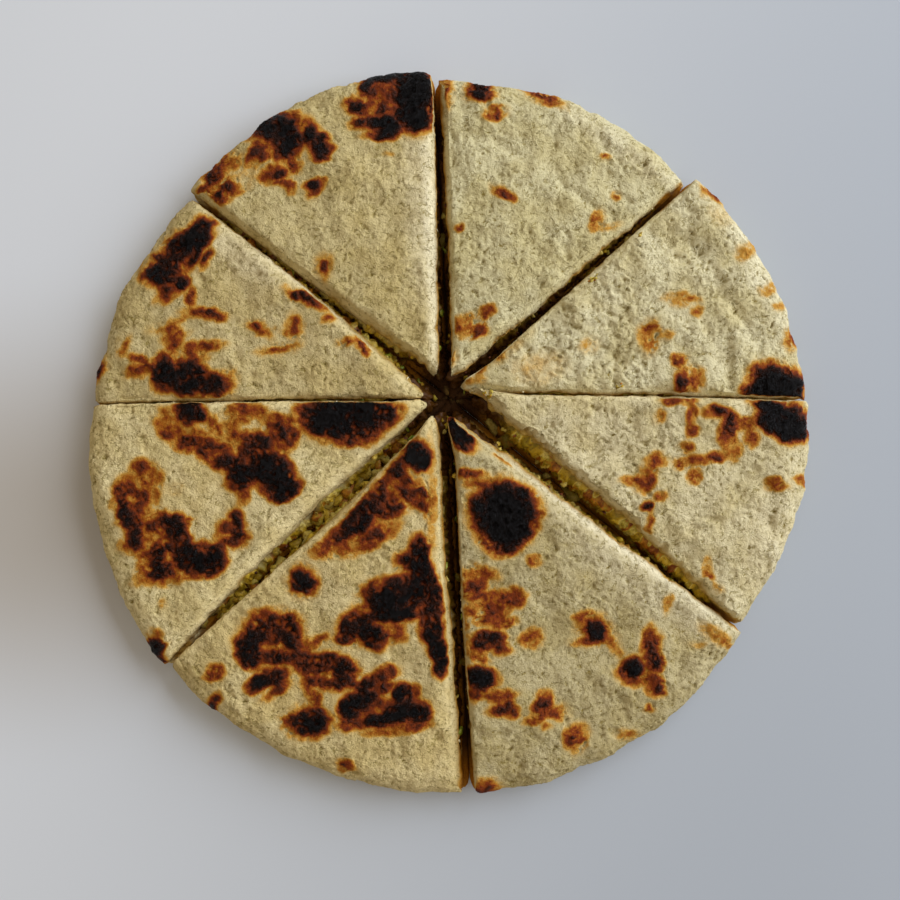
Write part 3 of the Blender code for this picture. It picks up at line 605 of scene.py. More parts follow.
# Griddled wheat dough: a matt, floury, felted skin, cream where it stayed pale and through gold and brown
# to a dull black with small glints where it was scorched, with painted shade in its hollows and fine
# wrinkles. Cut faces are moist, yellower crumb, soaked brown low down, a brown that is partly painted shade
# deep in the gaps. Its patterns are in mm, and the grit is drawn coarser than flour is, so that it shows.
doughLook = {
    # the colour of the painted shade in the hollows, and the pale of the painted highlights on lit lips and
    # rims
    "hollow": "#8d7a3a", "flourGrainAndHighlight": "#fff6d6",
    # soaked crumb, darker low down: soaked, and painted shade deep in the gaps
    "crumb": ((0.38, "#c4a455"), (0.62, "#a07c30")), "soakedAndShaded": ((0.45, "#b07414"), (1.0, "#43270a")),
    "burn": ((0.0, "#d6be7c"), (0.2, "#c6943c"), (0.36, "#a25e12"), (0.5, "#80340a"), (0.64, "#5a2408"),
             (0.8, "#2c1206"), (0.97, "#0a0605")),
    "roughness": 0.8, "charRoughness": 0.22, "specular": 0.2, "charSpecular": 0.14, "ior": 1.45,
    "wrinkles": 2.4, "wrinkleWidth": 0.026,  # the width is a share of the noise that draws them
    "wrinkled": 1.7, "flourGrain": 1.5, "crumbGrain": 1.6,
    "mottle": 2.8, "specks": 0.7, "strands": 0.6, "grit": 0.3, "charCracks": 1.5, "bump": 0.38,
}


def doughMaterial():
    look = doughLook
    material, tree, shader, place = newMaterial("griddledWheatDough")
    skin = addNode(tree, "ShaderNodeAttribute", output="Color", attribute_name="skin")
    scorch, cut, hollow, soakAndGapShade = (addNode(tree, "ShaderNodeAttribute", output="Fac", attribute_name=name)
                                 for name in ("scorch", "cut", "hollow", "soakAndGapShade"))

    # skin: painted shade, darker in the hollows and in broken wrinkles finer than the mesh
    wrinkles = addNode(tree, "ShaderNodeTexNoise", {"Vector": place, "Scale": perMetre(look["wrinkles"]),
                       "Detail": 2.0, "Roughness": 0.6, "Distortion": 0.6}, "Fac")
    wrinkles = addNode(tree, "ShaderNodeMath", {0: wrinkles, 1: 0.5, 2: look["wrinkleWidth"]}, "Value",
                       operation="COMPARE")
    broken = addNode(tree, "ShaderNodeTexNoise", {"Vector": place, "Scale": perMetre(look["wrinkled"]),
                     "Detail": 1.0}, "Fac")
    broken = addNode(tree, "ShaderNodeMapRange", {"Value": broken, "From Min": 0.45, "From Max": 0.57,
                     "To Max": 0.62}, "Result")
    slits = addNode(tree, "ShaderNodeMath", {0: wrinkles, 1: broken}, "Value", operation="MULTIPLY")
    flourGrainAndHighlight = addNode(tree, "ShaderNodeTexNoise", {"Vector": place, "Scale": perMetre(look["flourGrain"]),
                    "Detail": 4.0, "Roughness": 0.7}, "Fac")
    flourGrainAndHighlight = addNode(tree, "ShaderNodeMapRange", {"Value": flourGrainAndHighlight, "From Min": 0.35, "From Max": 0.65,
                    "To Min": 0.22, "To Max": -0.06}, "Result")
    slits = addNode(tree, "ShaderNodeMath", {0: slits, 1: flourGrainAndHighlight}, "Value", operation="MAXIMUM")
    shadeAndGrain = addNode(tree, "ShaderNodeMath", {0: slits, 1: hollow}, "Value", operation="ADD")
    skin = addNode(tree, "ShaderNodeMix", {0: shadeAndGrain, 6: skin, 7: linear(look["hollow"])}, 2, data_type="RGBA")
    # cut crumb
    grain = addNode(tree, "ShaderNodeTexNoise", {"Vector": place, "Scale": perMetre(look["crumbGrain"]),
                    "Detail": 5.0, "Roughness": 0.6}, "Fac")
    crumb = setStops(addNode(tree, "ShaderNodeValToRGB", {"Fac": grain}), look["crumb"])
    # cut crumb darkens as it soaks: soaked crumb, and painted shade low in the gaps
    soakedAndShaded = setStops(addNode(tree, "ShaderNodeValToRGB", {"Fac": soakAndGapShade}), look["soakedAndShaded"])
    wetAndShaded = addNode(tree, "ShaderNodeMapRange", {"Value": soakAndGapShade, "From Max": 0.4}, "Result")
    crumb = addNode(tree, "ShaderNodeMix", {0: wetAndShaded, 6: crumb, 7: soakedAndShaded}, 2, data_type="RGBA")
    dough = addNode(tree, "ShaderNodeMix", {0: cut, 6: skin, 7: crumb}, 2, data_type="RGBA")
    # scorch, mottled before it is coloured, but not where it is cold or quite black
    mottle = addNode(tree, "ShaderNodeTexNoise", {"Vector": place, "Scale": perMetre(look["mottle"]),
                     "Detail": 2.0, "Distortion": 0.3}, "Fac")
    mottle = addNode(tree, "ShaderNodeMapRange", {"Value": mottle, "To Min": -0.46, "To Max": 0.46}, "Result")
    speck = addNode(tree, "ShaderNodeTexNoise", {"Vector": place, "Scale": perMetre(look["specks"]),
                    "Detail": 2.0}, "Fac")
    speck = addNode(tree, "ShaderNodeMapRange", {"Value": speck, "To Min": -0.07, "To Max": 0.07}, "Result")
    unrest = addNode(tree, "ShaderNodeMath", {0: mottle, 1: speck}, "Value", operation="ADD")
    warm = addNode(tree, "ShaderNodeMapRange", {"Value": scorch, "From Min": 0.05, "From Max": 0.45},
                   "Result")
    live = addNode(tree, "ShaderNodeMapRange", {"Value": scorch, "From Min": 1.2, "From Max": 0.8}, "Result")
    mottled = addNode(tree, "ShaderNodeMath", {0: warm, 1: live}, "Value", operation="MULTIPLY")
    burnt = addNode(tree, "ShaderNodeMath", {0: unrest, 1: mottled, 2: scorch}, "Value",
                    operation="MULTIPLY_ADD", use_clamp=True)
    burnColour = setStops(addNode(tree, "ShaderNodeValToRGB", {"Fac": burnt}), look["burn"])
    browned = addNode(tree, "ShaderNodeMapRange", {"Value": burnt, "From Min": 0.02, "From Max": 0.22},
                      "Result", interpolation_type="SMOOTHSTEP")
    colour = addNode(tree, "ShaderNodeMix", {0: browned, 6: dough, 7: burnColour}, 2, data_type="RGBA")
    tree.links.new(colour, shader.inputs["Base Color"])
    char = addNode(tree, "ShaderNodeMapRange", {"Value": burnt, "From Min": 0.6, "From Max": 0.9}, "Result",
                   interpolation_type="SMOOTHSTEP")
    gloss = addNode(tree, "ShaderNodeMapRange", {"Value": char, "To Min": look["roughness"],
                    "To Max": look["charRoughness"]}, "Result")
    tree.links.new(gloss, shader.inputs["Roughness"])
    shader.inputs["IOR"].default_value = look["ior"]
    sheen = addNode(tree, "ShaderNodeMapRange", {"Value": char, "To Min": look["specular"],
                    "To Max": look["charSpecular"]}, "Result")
    tree.links.new(sheen, shader.inputs["Specular IOR Level"])
    # strands and grit finer than the mesh, and cracks in the char
    strands = addNode(tree, "ShaderNodeTexNoise", {"Vector": place, "Scale": perMetre(look["strands"]),
                      "Detail": 2.0, "Distortion": 1.0}, "Fac")
    grit = addNode(tree, "ShaderNodeTexNoise", {"Vector": place, "Scale": perMetre(look["grit"]),
                   "Detail": 2.0}, "Fac")
    height = addNode(tree, "ShaderNodeMath", {0: grit, 1: 0.4, 2: strands}, "Value",
                     operation="MULTIPLY_ADD")
    height = addNode(tree, "ShaderNodeMath", {0: slits, 1: -1.2, 2: height}, "Value",
                     operation="MULTIPLY_ADD")
    cracks = addNode(tree, "ShaderNodeTexNoise", {"Vector": place, "Scale": perMetre(look["charCracks"]),
                     "Detail": 4.0, "Roughness": 0.65, "Distortion": 1.4}, "Fac")
    cracks = addNode(tree, "ShaderNodeMath", {0: cracks, 1: char}, "Value", operation="MULTIPLY")
    height = addNode(tree, "ShaderNodeMath", {0: cracks, 1: 4.0, 2: height}, "Value",
                     operation="MULTIPLY_ADD")
    bump = addNode(tree, "ShaderNodeBump", {"Height": height, "Distance": look["bump"] * mm}, "Normal")
    tree.links.new(bump, shader.inputs["Normal"])
    return material


# Crumbled curd cheese with turmeric: moist yellow grains with an oily sheen, some olive, some stained orange.
# Its patterns are in mm.
fillingLook = {
    "curd": ((0.0, "#8a7414"), (0.22, "#b8941c"), (0.45, "#d2b036"), (0.62, "#dfc868"), (0.76, "#b09c2c"),
             (0.86, "#bc7a1c"), (0.97, "#7c3d10")),
    "shade": "#6a4a0c", "soakedAndShaded": "#4a2b06", "smeared": "#b3a474",
    "roughness": 0.42, "specular": 0.28, "ior": 1.4, "tintPatches": 1.5, "grain": 0.7, "bump": 0.35,
}


def fillingMaterial():
    look = fillingLook
    material, tree, shader, place = newMaterial("turmericCurdCheese")
    curd, soakAndGapShade, smeared = (addNode(tree, "ShaderNodeAttribute", output="Fac", attribute_name=name)
                           for name in ("curd", "soakAndGapShade", "smeared"))
    # each curd has its own colour, a little uneven
    uneven = addNode(tree, "ShaderNodeTexNoise", {"Vector": place, "Scale": perMetre(look["tintPatches"]),
                     "Detail": 3.0}, "Fac")
    uneven = addNode(tree, "ShaderNodeMapRange", {"Value": uneven, "To Min": -0.22, "To Max": 0.22}, "Result")
    kind = addNode(tree, "ShaderNodeMath", {0: curd, 1: uneven}, "Value", operation="ADD", use_clamp=True)
    colour = setStops(addNode(tree, "ShaderNodeValToRGB", {"Fac": kind}), look["curd"])
    grain = addNode(tree, "ShaderNodeTexNoise", {"Vector": place, "Scale": perMetre(look["grain"]),
                    "Detail": 4.0}, "Fac")
    shade = addNode(tree, "ShaderNodeMapRange", {"Value": grain, "From Min": 0.48, "From Max": 0.3,
                    "To Max": 0.7}, "Result")
    # painted shade in the grain's low parts, soaked by the pan's fat and darker low in the gaps and near the
    # middle, which is also painted shade, and smeared with dough by the knife
    for share, tone in ((shade, "shade"), (soakAndGapShade, "soakedAndShaded"), (smeared, "smeared")):
        colour = addNode(tree, "ShaderNodeMix", {0: share, 6: colour, 7: linear(look[tone])}, 2,
                         data_type="RGBA")
    tree.links.new(colour, shader.inputs["Base Color"])
    shader.inputs["Roughness"].default_value = look["roughness"]
    shader.inputs["IOR"].default_value = look["ior"]
    shader.inputs["Specular IOR Level"].default_value = look["specular"]
    bump = addNode(tree, "ShaderNodeBump", {"Height": grain, "Distance": look["bump"] * mm}, "Normal")
    tree.links.new(bump, shader.inputs["Normal"])
    return material


# All in mm, but for shares.
doughShape = {
    "voxel": 0.75, "quickVoxel": 1.6,
    "dome": (13.8, 10.8, 91.5, 2.2),  # height in the middle and at the shoulder, the shoulder's radius; power
    "highest": 13.97,  # where the skin's peaks level off
    "levelling": 0.25,  # how far a peak still rises above that
    "crust": 3.3,  # of dough over the filling
    "shows": (0.55, -0.75),  # refined farther than this from the filling, and facing up more than this
    "clear": (0.5, 1.1),  # from the filling: where relief starts, and where it is whole
    "cutFace": (0.42, 0.8), "topFace": (0.0, 0.6), "underFace": (0.5, 0.9),  # how far it is turned that way
    "swells": ((24.0, 0.8), (12.0, 0.62), (6.5, 0.48)),  # (size, height)
    "folds": (3.4, 0.36), "felt": (1.1, 0.24), "creases": 1.5,
    "pores": ((2.5, 0.35), (4.0, 0.4)), "poreDepth": 0.42,  # (spacing, share of the places that have one)
    "craters": (8.0, 0.4, 0.3, 0.1),  # spacing, share, depth, height of the lip round it
    "blister": 0.3, "charWrinkles": (1.9, 0.62), "sunk": 0.15,
    "wallRipples": (3.0, 0.3),
    "foot": (3.6, 2.6), "kerf": 0.02,  # the heights from which the wedges draw together; the gap that is left
    "baseRunsOn": 2.4,  # how far the base runs on to where the cuts cross
}


def domeHeight(points):
    # how high the bread's top is over each point, mm
    middle, shoulder, radius, power = doughShape["dome"]
    share = np.minimum(np.hypot(points[:, 0], points[:, 1]) / radius, 1)
    return middle + (shoulder - middle) * share**power


def cutWays(look):
    # the way out through each cut, in plan
    first, second = (np.array((math.sin(math.radians(angle)), -math.cos(math.radians(angle))))
                     for angle in look["cuts"])
    return first, -second


# What the knife does at the edge of a cut. All in mm, but for shares, and each pair of limits is from where
# the change starts to where it is whole.
knifeWork = {
    "lip": (4.6, 2.8),  # below the top: the crust that moves with its lip
    "reachAt": (20, 42, 68),  # from where the cuts cross: where an edge's three reaches hold
    "reachBehind": (7.0, 0.5), "tearBehind": (3.2, 0.3), "dragBehind": (1.8, 0.4),  # behind the cut
    "bites": ((5.0, 0.75), (1.6, 0.5), 0.12),  # in a torn edge: (size, share) twice, and the share everywhere
    "tear": 1.9,  # its deepest bite
    "roundedBelow": (3.5, 0.5), "dragFrom": (0.6, 3.0), "dragTo": (5.6, 4.6),  # below the top
    "apronWaves": ((7.0, 0.8), (2.4, 0.5), 0.7, (0.1, 1.5)),  # (size, share) twice, mean, least and most
    "apronTears": (0.8, 2.0), "apronHides": (0.8, 2.4),  # lengths: it tears no more, and hides the crumb
    "proud": 0.5, "lumps": (4.0, 0.45), "farthest": 2.0,  # how an apron lies on the filling's wall
    "tipPull": (12.0, 0.5),  # from the crust's point
}


def apronLength(points, longest, side):
    # how far the crust was dragged down the cut here, mm
    (broad, broadShare), (narrow, narrowShare), mean, limits = knifeWork["apronWaves"]
    drawn = points * (1, 1, 0.2)
    uneven = mean + broadShare * softNoise(drawn, broad, 33 + side)
    uneven = uneven + narrowShare * softNoise(drawn, narrow, 35)
    return longest * np.clip(uneven, *limits)


def reachOut(points, away, reach):
    # how far a cut's lip stands out, mm: less and less away from the cut
    fromKnife = np.linalg.norm(points[:, :2] - knifeCentre, axis=1)
    return np.interp(fromKnife, knifeWork["reachAt"], reach) * smoothStep(away, *knifeWork["reachBehind"])


def dragEdge(points, away, wayOut, edge, side, fillingWall):
    # rounds the crust down at a cut, tears it, and drags it down over the filling
    work = knifeWork
    depth = domeHeight(points) - points[:, 2]
    crust = smoothStep(depth, *work["lip"])
    points[:, :2] += (reachOut(points, away, edge["reach"]) * crust)[:, None] * wayOut
    (broad, broadShare), (narrow, narrowShare), everywhere = work["bites"]
    ragged = broadShare * softNoise(points * (1, 1, 0.3), broad, 37, 2)
    ragged = ragged + narrowShare * softNoise(points, narrow, 38) + everywhere
    back = np.clip(ragged, 0, 1) * edge["torn"] * work["tear"] * smoothStep(away, *work["tearBehind"]) * crust
    back *= 1 - smoothStep(apronLength(points, edge["apron"], side), *work["apronTears"])
    points[:, :2] -= back[:, None] * wayOut
    rounded = np.clip(1 - away / edge["width"], 0, 1) ** 2
    points[:, 2] -= edge["drop"] * rounded * smoothStep(depth, *work["roundedBelow"])
    hang = apronLength(points, edge["apron"], side) * smoothStep(depth, *work["dragFrom"])
    hang *= smoothStep(depth, *work["dragTo"])
    hang *= smoothStep(away, *work["dragBehind"])
    points[:, 2] -= hang
    # an apron lies over the filling's wall, lumpy where the edge leans back
    lean = np.minimum(reachOut(points, away, edge["reach"]), 0)
    lumpSize, lumpHeight = work["lumps"]
    lumps = lumpHeight * softNoise(points * (1, 1, 0.4), lumpSize, 39, 2) * (lean < -0.1)
    proud = work["proud"] - 0.5 * away + lean + lumps
    for i in np.nonzero(hang > 0.15)[0]:
        spot, normal, _, _ = fillingWall.find_nearest(Vector(points[i]) * mm)
        move = (proud[i] - (Vector(points[i]) - spot / mm).dot(normal)) * min(hang[i] / 0.8, 1)
        points[i] += np.array(normal) * np.clip(move, -work["farthest"], work["farthest"])


def bakedMarks(points, normals, depth, cut, under, look, number):
    # how far the dough is burnt at each point, from 0 to about 1.1
    scorch = scorchAt(points, look["scorched"], 40)
    scorch /= (1 + (scorch / look["heat"]) ** 8) ** 0.125  # no part gets much hotter than this
    scorch *= smoothStep(normals[:, 2], -0.5, 0.1)
    scorch *= 1 - cut * smoothStep(depth, 0.4, 1.4)
    # the underside and the foot of the rim took marks of their own
    dice = np.random.default_rng(500 + number)
    centre = points[:, :2].mean(axis=0)
    underMarks = [(*(centre + dice.uniform(-45, 45, 2)), dice.uniform(2, 7), dice.uniform(1.2, 4),
                   dice.uniform(0, 180), dice.uniform(0.25, 0.95)) for _ in range(34)]
    scorch = np.maximum(scorch, scorchAt(points, underMarks, 60) * under)
    rimFoot = smoothStep(points[:, 2], 3.4, 0.8) * (1 - under) * (1 - cut)
    toast = 0.2 + 0.3 * softNoise(points, 7.0, 71, 2)
    return np.maximum(scorch, np.clip(toast, 0, 1) * rimFoot)


def skinRelief(points, scorch, cut, top, skin, under, look):
    # the skin's broad and fine unevenness and its creases, in mm, and how much painted shade each point gets
    # for lying in a hollow, 0 to 1
    shape = doughShape
    swell = np.zeros(len(points))
    for turn, (size, height) in enumerate(shape["swells"]):
        swell += height * softNoise(points, size, 1 + turn * 3, 2)
    foldSize, foldHeight = shape["folds"]
    folds = softNoise(points + 1.2 * softNoise(points, 5.0, 8)[:, None], foldSize, 7, 2)
    inPatches = smoothStep(softNoise(points, 13.0, 17), -0.35, 0.45)
    swell += foldHeight * (0.45 - np.abs(folds)) * 1.6 * inPatches
    crease = creaseAt(points, look["creased"]) * skin
    bent = points + 0.5 * np.stack([softNoise(points, 1.4, seed) for seed in (81, 82, 83)], axis=1)
    feltSize, feltHeight = shape["felt"]
    strands = softNoise(bent, feltSize, 5, 2)
    felt = 0.42 - np.sqrt(strands**2 + 0.004) * 1.5 + 0.5 * softNoise(points, 0.9, 6)
    # pores and craters, which char closes
    unburnt = (1 - smoothStep(scorch, 0.3, 0.6)) * (1 - cut) * (1 - 0.7 * under)
    pore = np.zeros(len(points))
    for turn, (spacing, share) in enumerate(shape["pores"]):
        nearest, chance = scatteredSpots(bent, spacing, 2.4, 11 + turn * 5)
        size = 0.1 + 0.14 * chance / share
        pore = np.maximum(pore, (1 - smoothStep(nearest, size * 0.3, size)) * (chance < share))
    pore *= unburnt
    spacing, share, deep, lip = shape["craters"]
    nearest, chance = scatteredSpots(bent, spacing, 1.5, 29)
    size = 0.1 + 0.12 * chance / share
    crater = deep * (1 - smoothStep(nearest, size * 0.4, size))
    crater = crater - lip * np.exp(-(((nearest - size * 1.15) / 0.05) ** 2))
    crater *= (chance < share) * unburnt
    charred = smoothStep(scorch, 0.5, 0.9)
    crackSize, crackHeight = shape["charWrinkles"]
    crackle = 0.4 - np.abs(softNoise(bent, crackSize, 21, 2)) * 1.6
    rough = look["rough"] * (0.9 + 0.9 * softNoise(points, 7.0, 91, 2))
    rough *= 0.4 + 0.6 * top
    fine = feltHeight * felt * rough * (1 - charred) + crackHeight * charred * crackle
    fine -= (shape["poreDepth"] * pore + crater) * look["rough"]
    # painted shade in pores, craters and creases, and between the felt's strands
    hollow = np.clip(pore + crater - 1.1 * felt * (1 - charred) - 0.15 + crease * 0.2, 0, 1)
    return swell, fine, crease, hollow


# What crumbled off in the gaps, in mm and degrees. Its sizes are in metres and its tilts in radians.
litter = {
    # low strips in the gaps, each (direction, from, to, height, half width, shift, how much)
    "gaps": ((-136.2, 14, 86, 4.6, 1.7, -1.0, 1.0), (-38.9, 8, 70, 2.6, 1.0, 0.6, 0.2),
             (42.0, 10, 70, 2.6, 0.6, 0, 0.1), (93.3, 12, 80, 2.6, 0.6, 0.1, 0.1),
             (142.2, 12, 80, 2.6, 0.8, -0.4, 0.1), (-87.1, 14, 84, 2.6, 0.8, -0.3, 0.15)),
    "strays": ((38.6, 41.9), (46.2, 11.3), (51.0, 55.4), (10.5, 10.7)),  # crumbs of filling beside the cuts
    # fallen bits get darker low in the gaps: soaked, and painted shade
    "strayWithin": 1.2, "soakAndGapShade": 0.36,
    "strayCrumbs": {"Bits per square metre": 2200000.0, "Smallest": (0.5 * mm, 0.4 * mm, 0.25 * mm),
                    "Largest": (1.2 * mm, 0.9 * mm, 0.45 * mm), "Tilt": 0.3, "Seed": 33},
    "curds": {"Bits per square metre": 170000.0, "Smallest": (2.2 * mm, 1.8 * mm, 1.2 * mm),
              "Largest": (6.6 * mm, 4.4 * mm, 2.4 * mm), "Tilt": 0.5, "Seed": 3},
    "grains": {"Bits per square metre": 9000.0, "Smallest": (0.8 * mm, 0.8 * mm, 0.6 * mm),
               "Largest": (2.4 * mm, 1.9 * mm, 1.5 * mm), "Tilt": 3.1, "Seed": 5},
    "chilli": {"Bits per square metre": 2600.0, "Smallest": (1.4 * mm, 1.0 * mm, 0.6 * mm),
               "Largest": (3.6 * mm, 2.2 * mm, 1.1 * mm), "Tilt": 0.6, "Seed": 8},
    "spice": {"Bits per square metre": 9000.0, "Smallest": (0.5 * mm, 0.4 * mm, 0.3 * mm),
              "Largest": (1.7 * mm, 1.2 * mm, 0.8 * mm), "Tilt": 1.2, "Seed": 12},
    "crumbs": {"Bits per square metre": 14000.0, "Smallest": (0.35 * mm, 0.3 * mm, 0.25 * mm),
               "Largest": (1.3 * mm, 1.0 * mm, 0.8 * mm), "Tilt": 3.1, "Seed": 21},
}


def doughPiece(wedgeName, number, material):
    shape, look = doughShape, wedgeLooks[wedgeName]
    node, fillingNode = (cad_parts[f"{wedgeName}_{part}"] for part in ("dough", "filling"))
    mesh = evenMesh(node, shape["voxel"] * mm * (1))
    fillingTree = treeOf(fillingNode)
    beside = [wedgeNames[place % len(wedgeNames)] for place in (number - 2, number)]
    besideTrees = [treeOf(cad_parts[f"{name}_dough"]) for name in beside]

    # finer where the dough shows: not in the pocket round the filling, and not on the underside
    apart, upward = shape["shows"]
    clear = awayFrom(pointsOf(mesh) / mm, fillingTree) > apart
    refineWhere(mesh, clear & (pointsOf(mesh, "normal")[:, 2] > upward))

    points, normals = pointsOf(mesh) / mm, pointsOf(mesh, "normal")
    clear = smoothStep(awayFrom(points, fillingTree), *shape["clear"])
    fromKnife = points[:, :2] - knifeCentre
    fromCentre = np.linalg.norm(fromKnife, axis=1)
    outwards = fromKnife / np.maximum(fromCentre, 1e-6)[:, None]
    sideways = np.abs(outwards[:, 0] * normals[:, 1] - outwards[:, 1] * normals[:, 0])
    cut = smoothStep(sideways, *shape["cutFace"])
    top = smoothStep(normals[:, 2], *shape["topFace"])
    under = smoothStep(-normals[:, 2], *shape["underFace"]) * (points[:, 2] < 2)
    depth = domeHeight(points) - points[:, 2]
    scorch = bakedMarks(points, normals, depth, cut, under, look, number)
    skin = (1 - cut) * top
    swell, fine, crease, hollow = skinRelief(points, scorch, cut, top, skin, under, look)
    relief = swell * look["rough"] - shape["creases"] * crease + fine
    relief = relief + shape["blister"] * smoothStep(scorch, 0.35, 0.95) - shape["sunk"]

    # cut faces are rippled, and their foot meets the next wedge's
    rippleSize, rippleHeight = shape["wallRipples"]
    ripple = softNoise(points * (1, 1, 1.6), rippleSize, 31, 3)
    foot = smoothStep(points[:, 2], *shape["foot"]) * smoothStep(sideways, 0.2, 0.4)
    atFoot = np.nonzero(foot > 0)[0]
    gap = np.zeros(len(points))
    gap[atFoot] = np.clip(awayFrom(points[atFoot], *besideTrees), 0, 3)
    relief = relief * (1 - cut) + rippleHeight * (ripple - 0.5) * (1 - foot) * cut
    relief *= clear
    relief = np.minimum(relief, 0) * under + relief * (1 - under)
    points += normals * relief[:, None]
    flat = normals[:, :2] / np.maximum(np.linalg.norm(normals[:, :2], axis=1, keepdims=True), 0.2)
    points[:, :2] += flat * (foot * np.clip((gap - shape["kerf"]) / 2, 0, 0.9))[:, None]

    # the knife's edges
    smear, soakAndGapShade, lip = np.zeros((3, len(points)))
    for side, wayOut in enumerate(cutWays(look)):
        edge = look["edges"][side]
        nearCut = np.nonzero(-(fromKnife @ wayOut) < 11)[0]
        away = np.full(len(points), farAway)
        away[nearCut] = awayFrom(points[nearCut], treeOf(node, wayOut))
        hidden = smoothStep(apronLength(points, edge["apron"], side), *knifeWork["apronHides"])
        smear = np.maximum(smear, hidden * (away < 1.5))
        soakAndGapShade = np.maximum(soakAndGapShade, edge["soakedAndShaded"] * (away < 4) * cut)
        lip = np.maximum(lip, smoothStep(away, 1.6, 0.3))
        dragEdge(points, away, wayOut, edge, side, treeOf(fillingNode, wayOut))
    if "tip" in look:
        point = points[np.argmin(fromCentre + farAway * (depth > 2)), :2]
        pull = smoothStep(np.linalg.norm(points[:, :2] - point, axis=1), *knifeWork["tipPull"])
        points[:, :2] += (pull * smoothStep(depth, *knifeWork["lip"]))[:, None] * look["tip"]
    # the base runs on to where the cuts cross
    closer = shape["baseRunsOn"] * (1 - smoothStep(fromCentre, 1.5, 5)) * smoothStep(points[:, 2], 4.4, 3.2)
    points[:, :2] -= outwards * np.minimum(closer, 0.93 * fromCentre)[:, None]
    over = np.maximum(points[:, 2] - shape["highest"], 0)
    levelled = points[:, 2] - over + shape["levelling"] * np.tanh(over / shape["levelling"])
    points[:, 2] = np.maximum(levelled, 0)
    setPoints(mesh, points * mm)

    # raised dough browns first, hollows keep their colour, and cut crumb is soaked low down. Hollows also get
    # painted shade and lips a painted highlight, and the soaking low in the gaps and near the middle is
    # partly painted shade.
    raised = (0.5 * fine + 0.25 * swell) * smoothStep(scorch, 0.05, 0.35)
    setAttribute(mesh, "scorch", scorch + raised * (1 - smoothStep(scorch, 0.8, 1.1)))
    clouds = smoothStep(softNoise(points, 10.0, 61, 3), -0.45, 0.5)[:, None]
    tint = (1 - clouds) * (1.06, 1.07, 1.12, 1) + clouds * (0.95, 0.92, 0.84, 1)
    colour = np.array(linear(look["skin"])) * tint
    # painted highlight: pale strips along the lips and rims that face the window
    flourGrainAndHighlight = scorchAt(points, look.get("paintedHighlights", []), 80)[:, None]
    colour += (np.array(linear(doughLook["flourGrainAndHighlight"])) - colour) * np.minimum(flourGrainAndHighlight, 1)
    # painted highlight: the skin is paler along each cut's lip, near the top
    paintedLipHighlight = 1 + 0.12 * lip * (1 - smoothStep(depth, 1, 2))
    setAttribute(mesh, "skin", np.minimum(colour * paintedLipHighlight[:, None], 1))
    setAttribute(mesh, "hollow", hollow * skin * 0.6)
    radius = np.hypot(points[:, 0], points[:, 1])
    inside = smoothStep(depth, 3, 4.5) * smoothStep(radius, 90, 87) * (1 - under)
    low = smoothStep(points[:, 2], 9, 3.5) * smoothStep(radius, 97, 84)
    # cut crumb gets darker low in the gaps and where the cuts cross: soaked, and painted shade
    steepedAndCentreShade = np.maximum(smoothStep(soakAndGapShade, 0.6, 1), 1 - smoothStep(fromCentre, 7, 15))
    soakAndGapShade = 0.4 * soakAndGapShade * smoothStep(depth, 0.8, 4) * (1 - low) + low * (0.45 + 0.55 * steepedAndCentreShade)
    setAttribute(mesh, "soakAndGapShade", soakAndGapShade)
    crumb = cut * smoothStep(depth, 1.0, 2.6) * (1 - 0.8 * smear * (1 - low))
    setAttribute(mesh, "cut", np.maximum(crumb, inside * (1 - smear * (1 - low))))
    looseCrumb.append(surfaceWhere(mesh, crumb * smoothStep(depth, 4, 1)))
    strays = np.zeros(len(points))
    for spot in litter["strays"]:
        fromSpot = np.linalg.norm(points[:, :2] - spot, axis=1) / litter["strayWithin"]
        strays += np.exp(-(fromSpot**2)) * skin * (depth < 2)
    straySpots.append(surfaceWhere(mesh, strays))
    return newPiece(f"{wedgeName}Dough", mesh, material, "dough", node.name)


# (size, height) of its lumps, mm
fillingShape = {"voxel": 0.8, "quickVoxel": 1.5, "curds": (2.8, 1.1), "grains": (1.3, 0.3)}


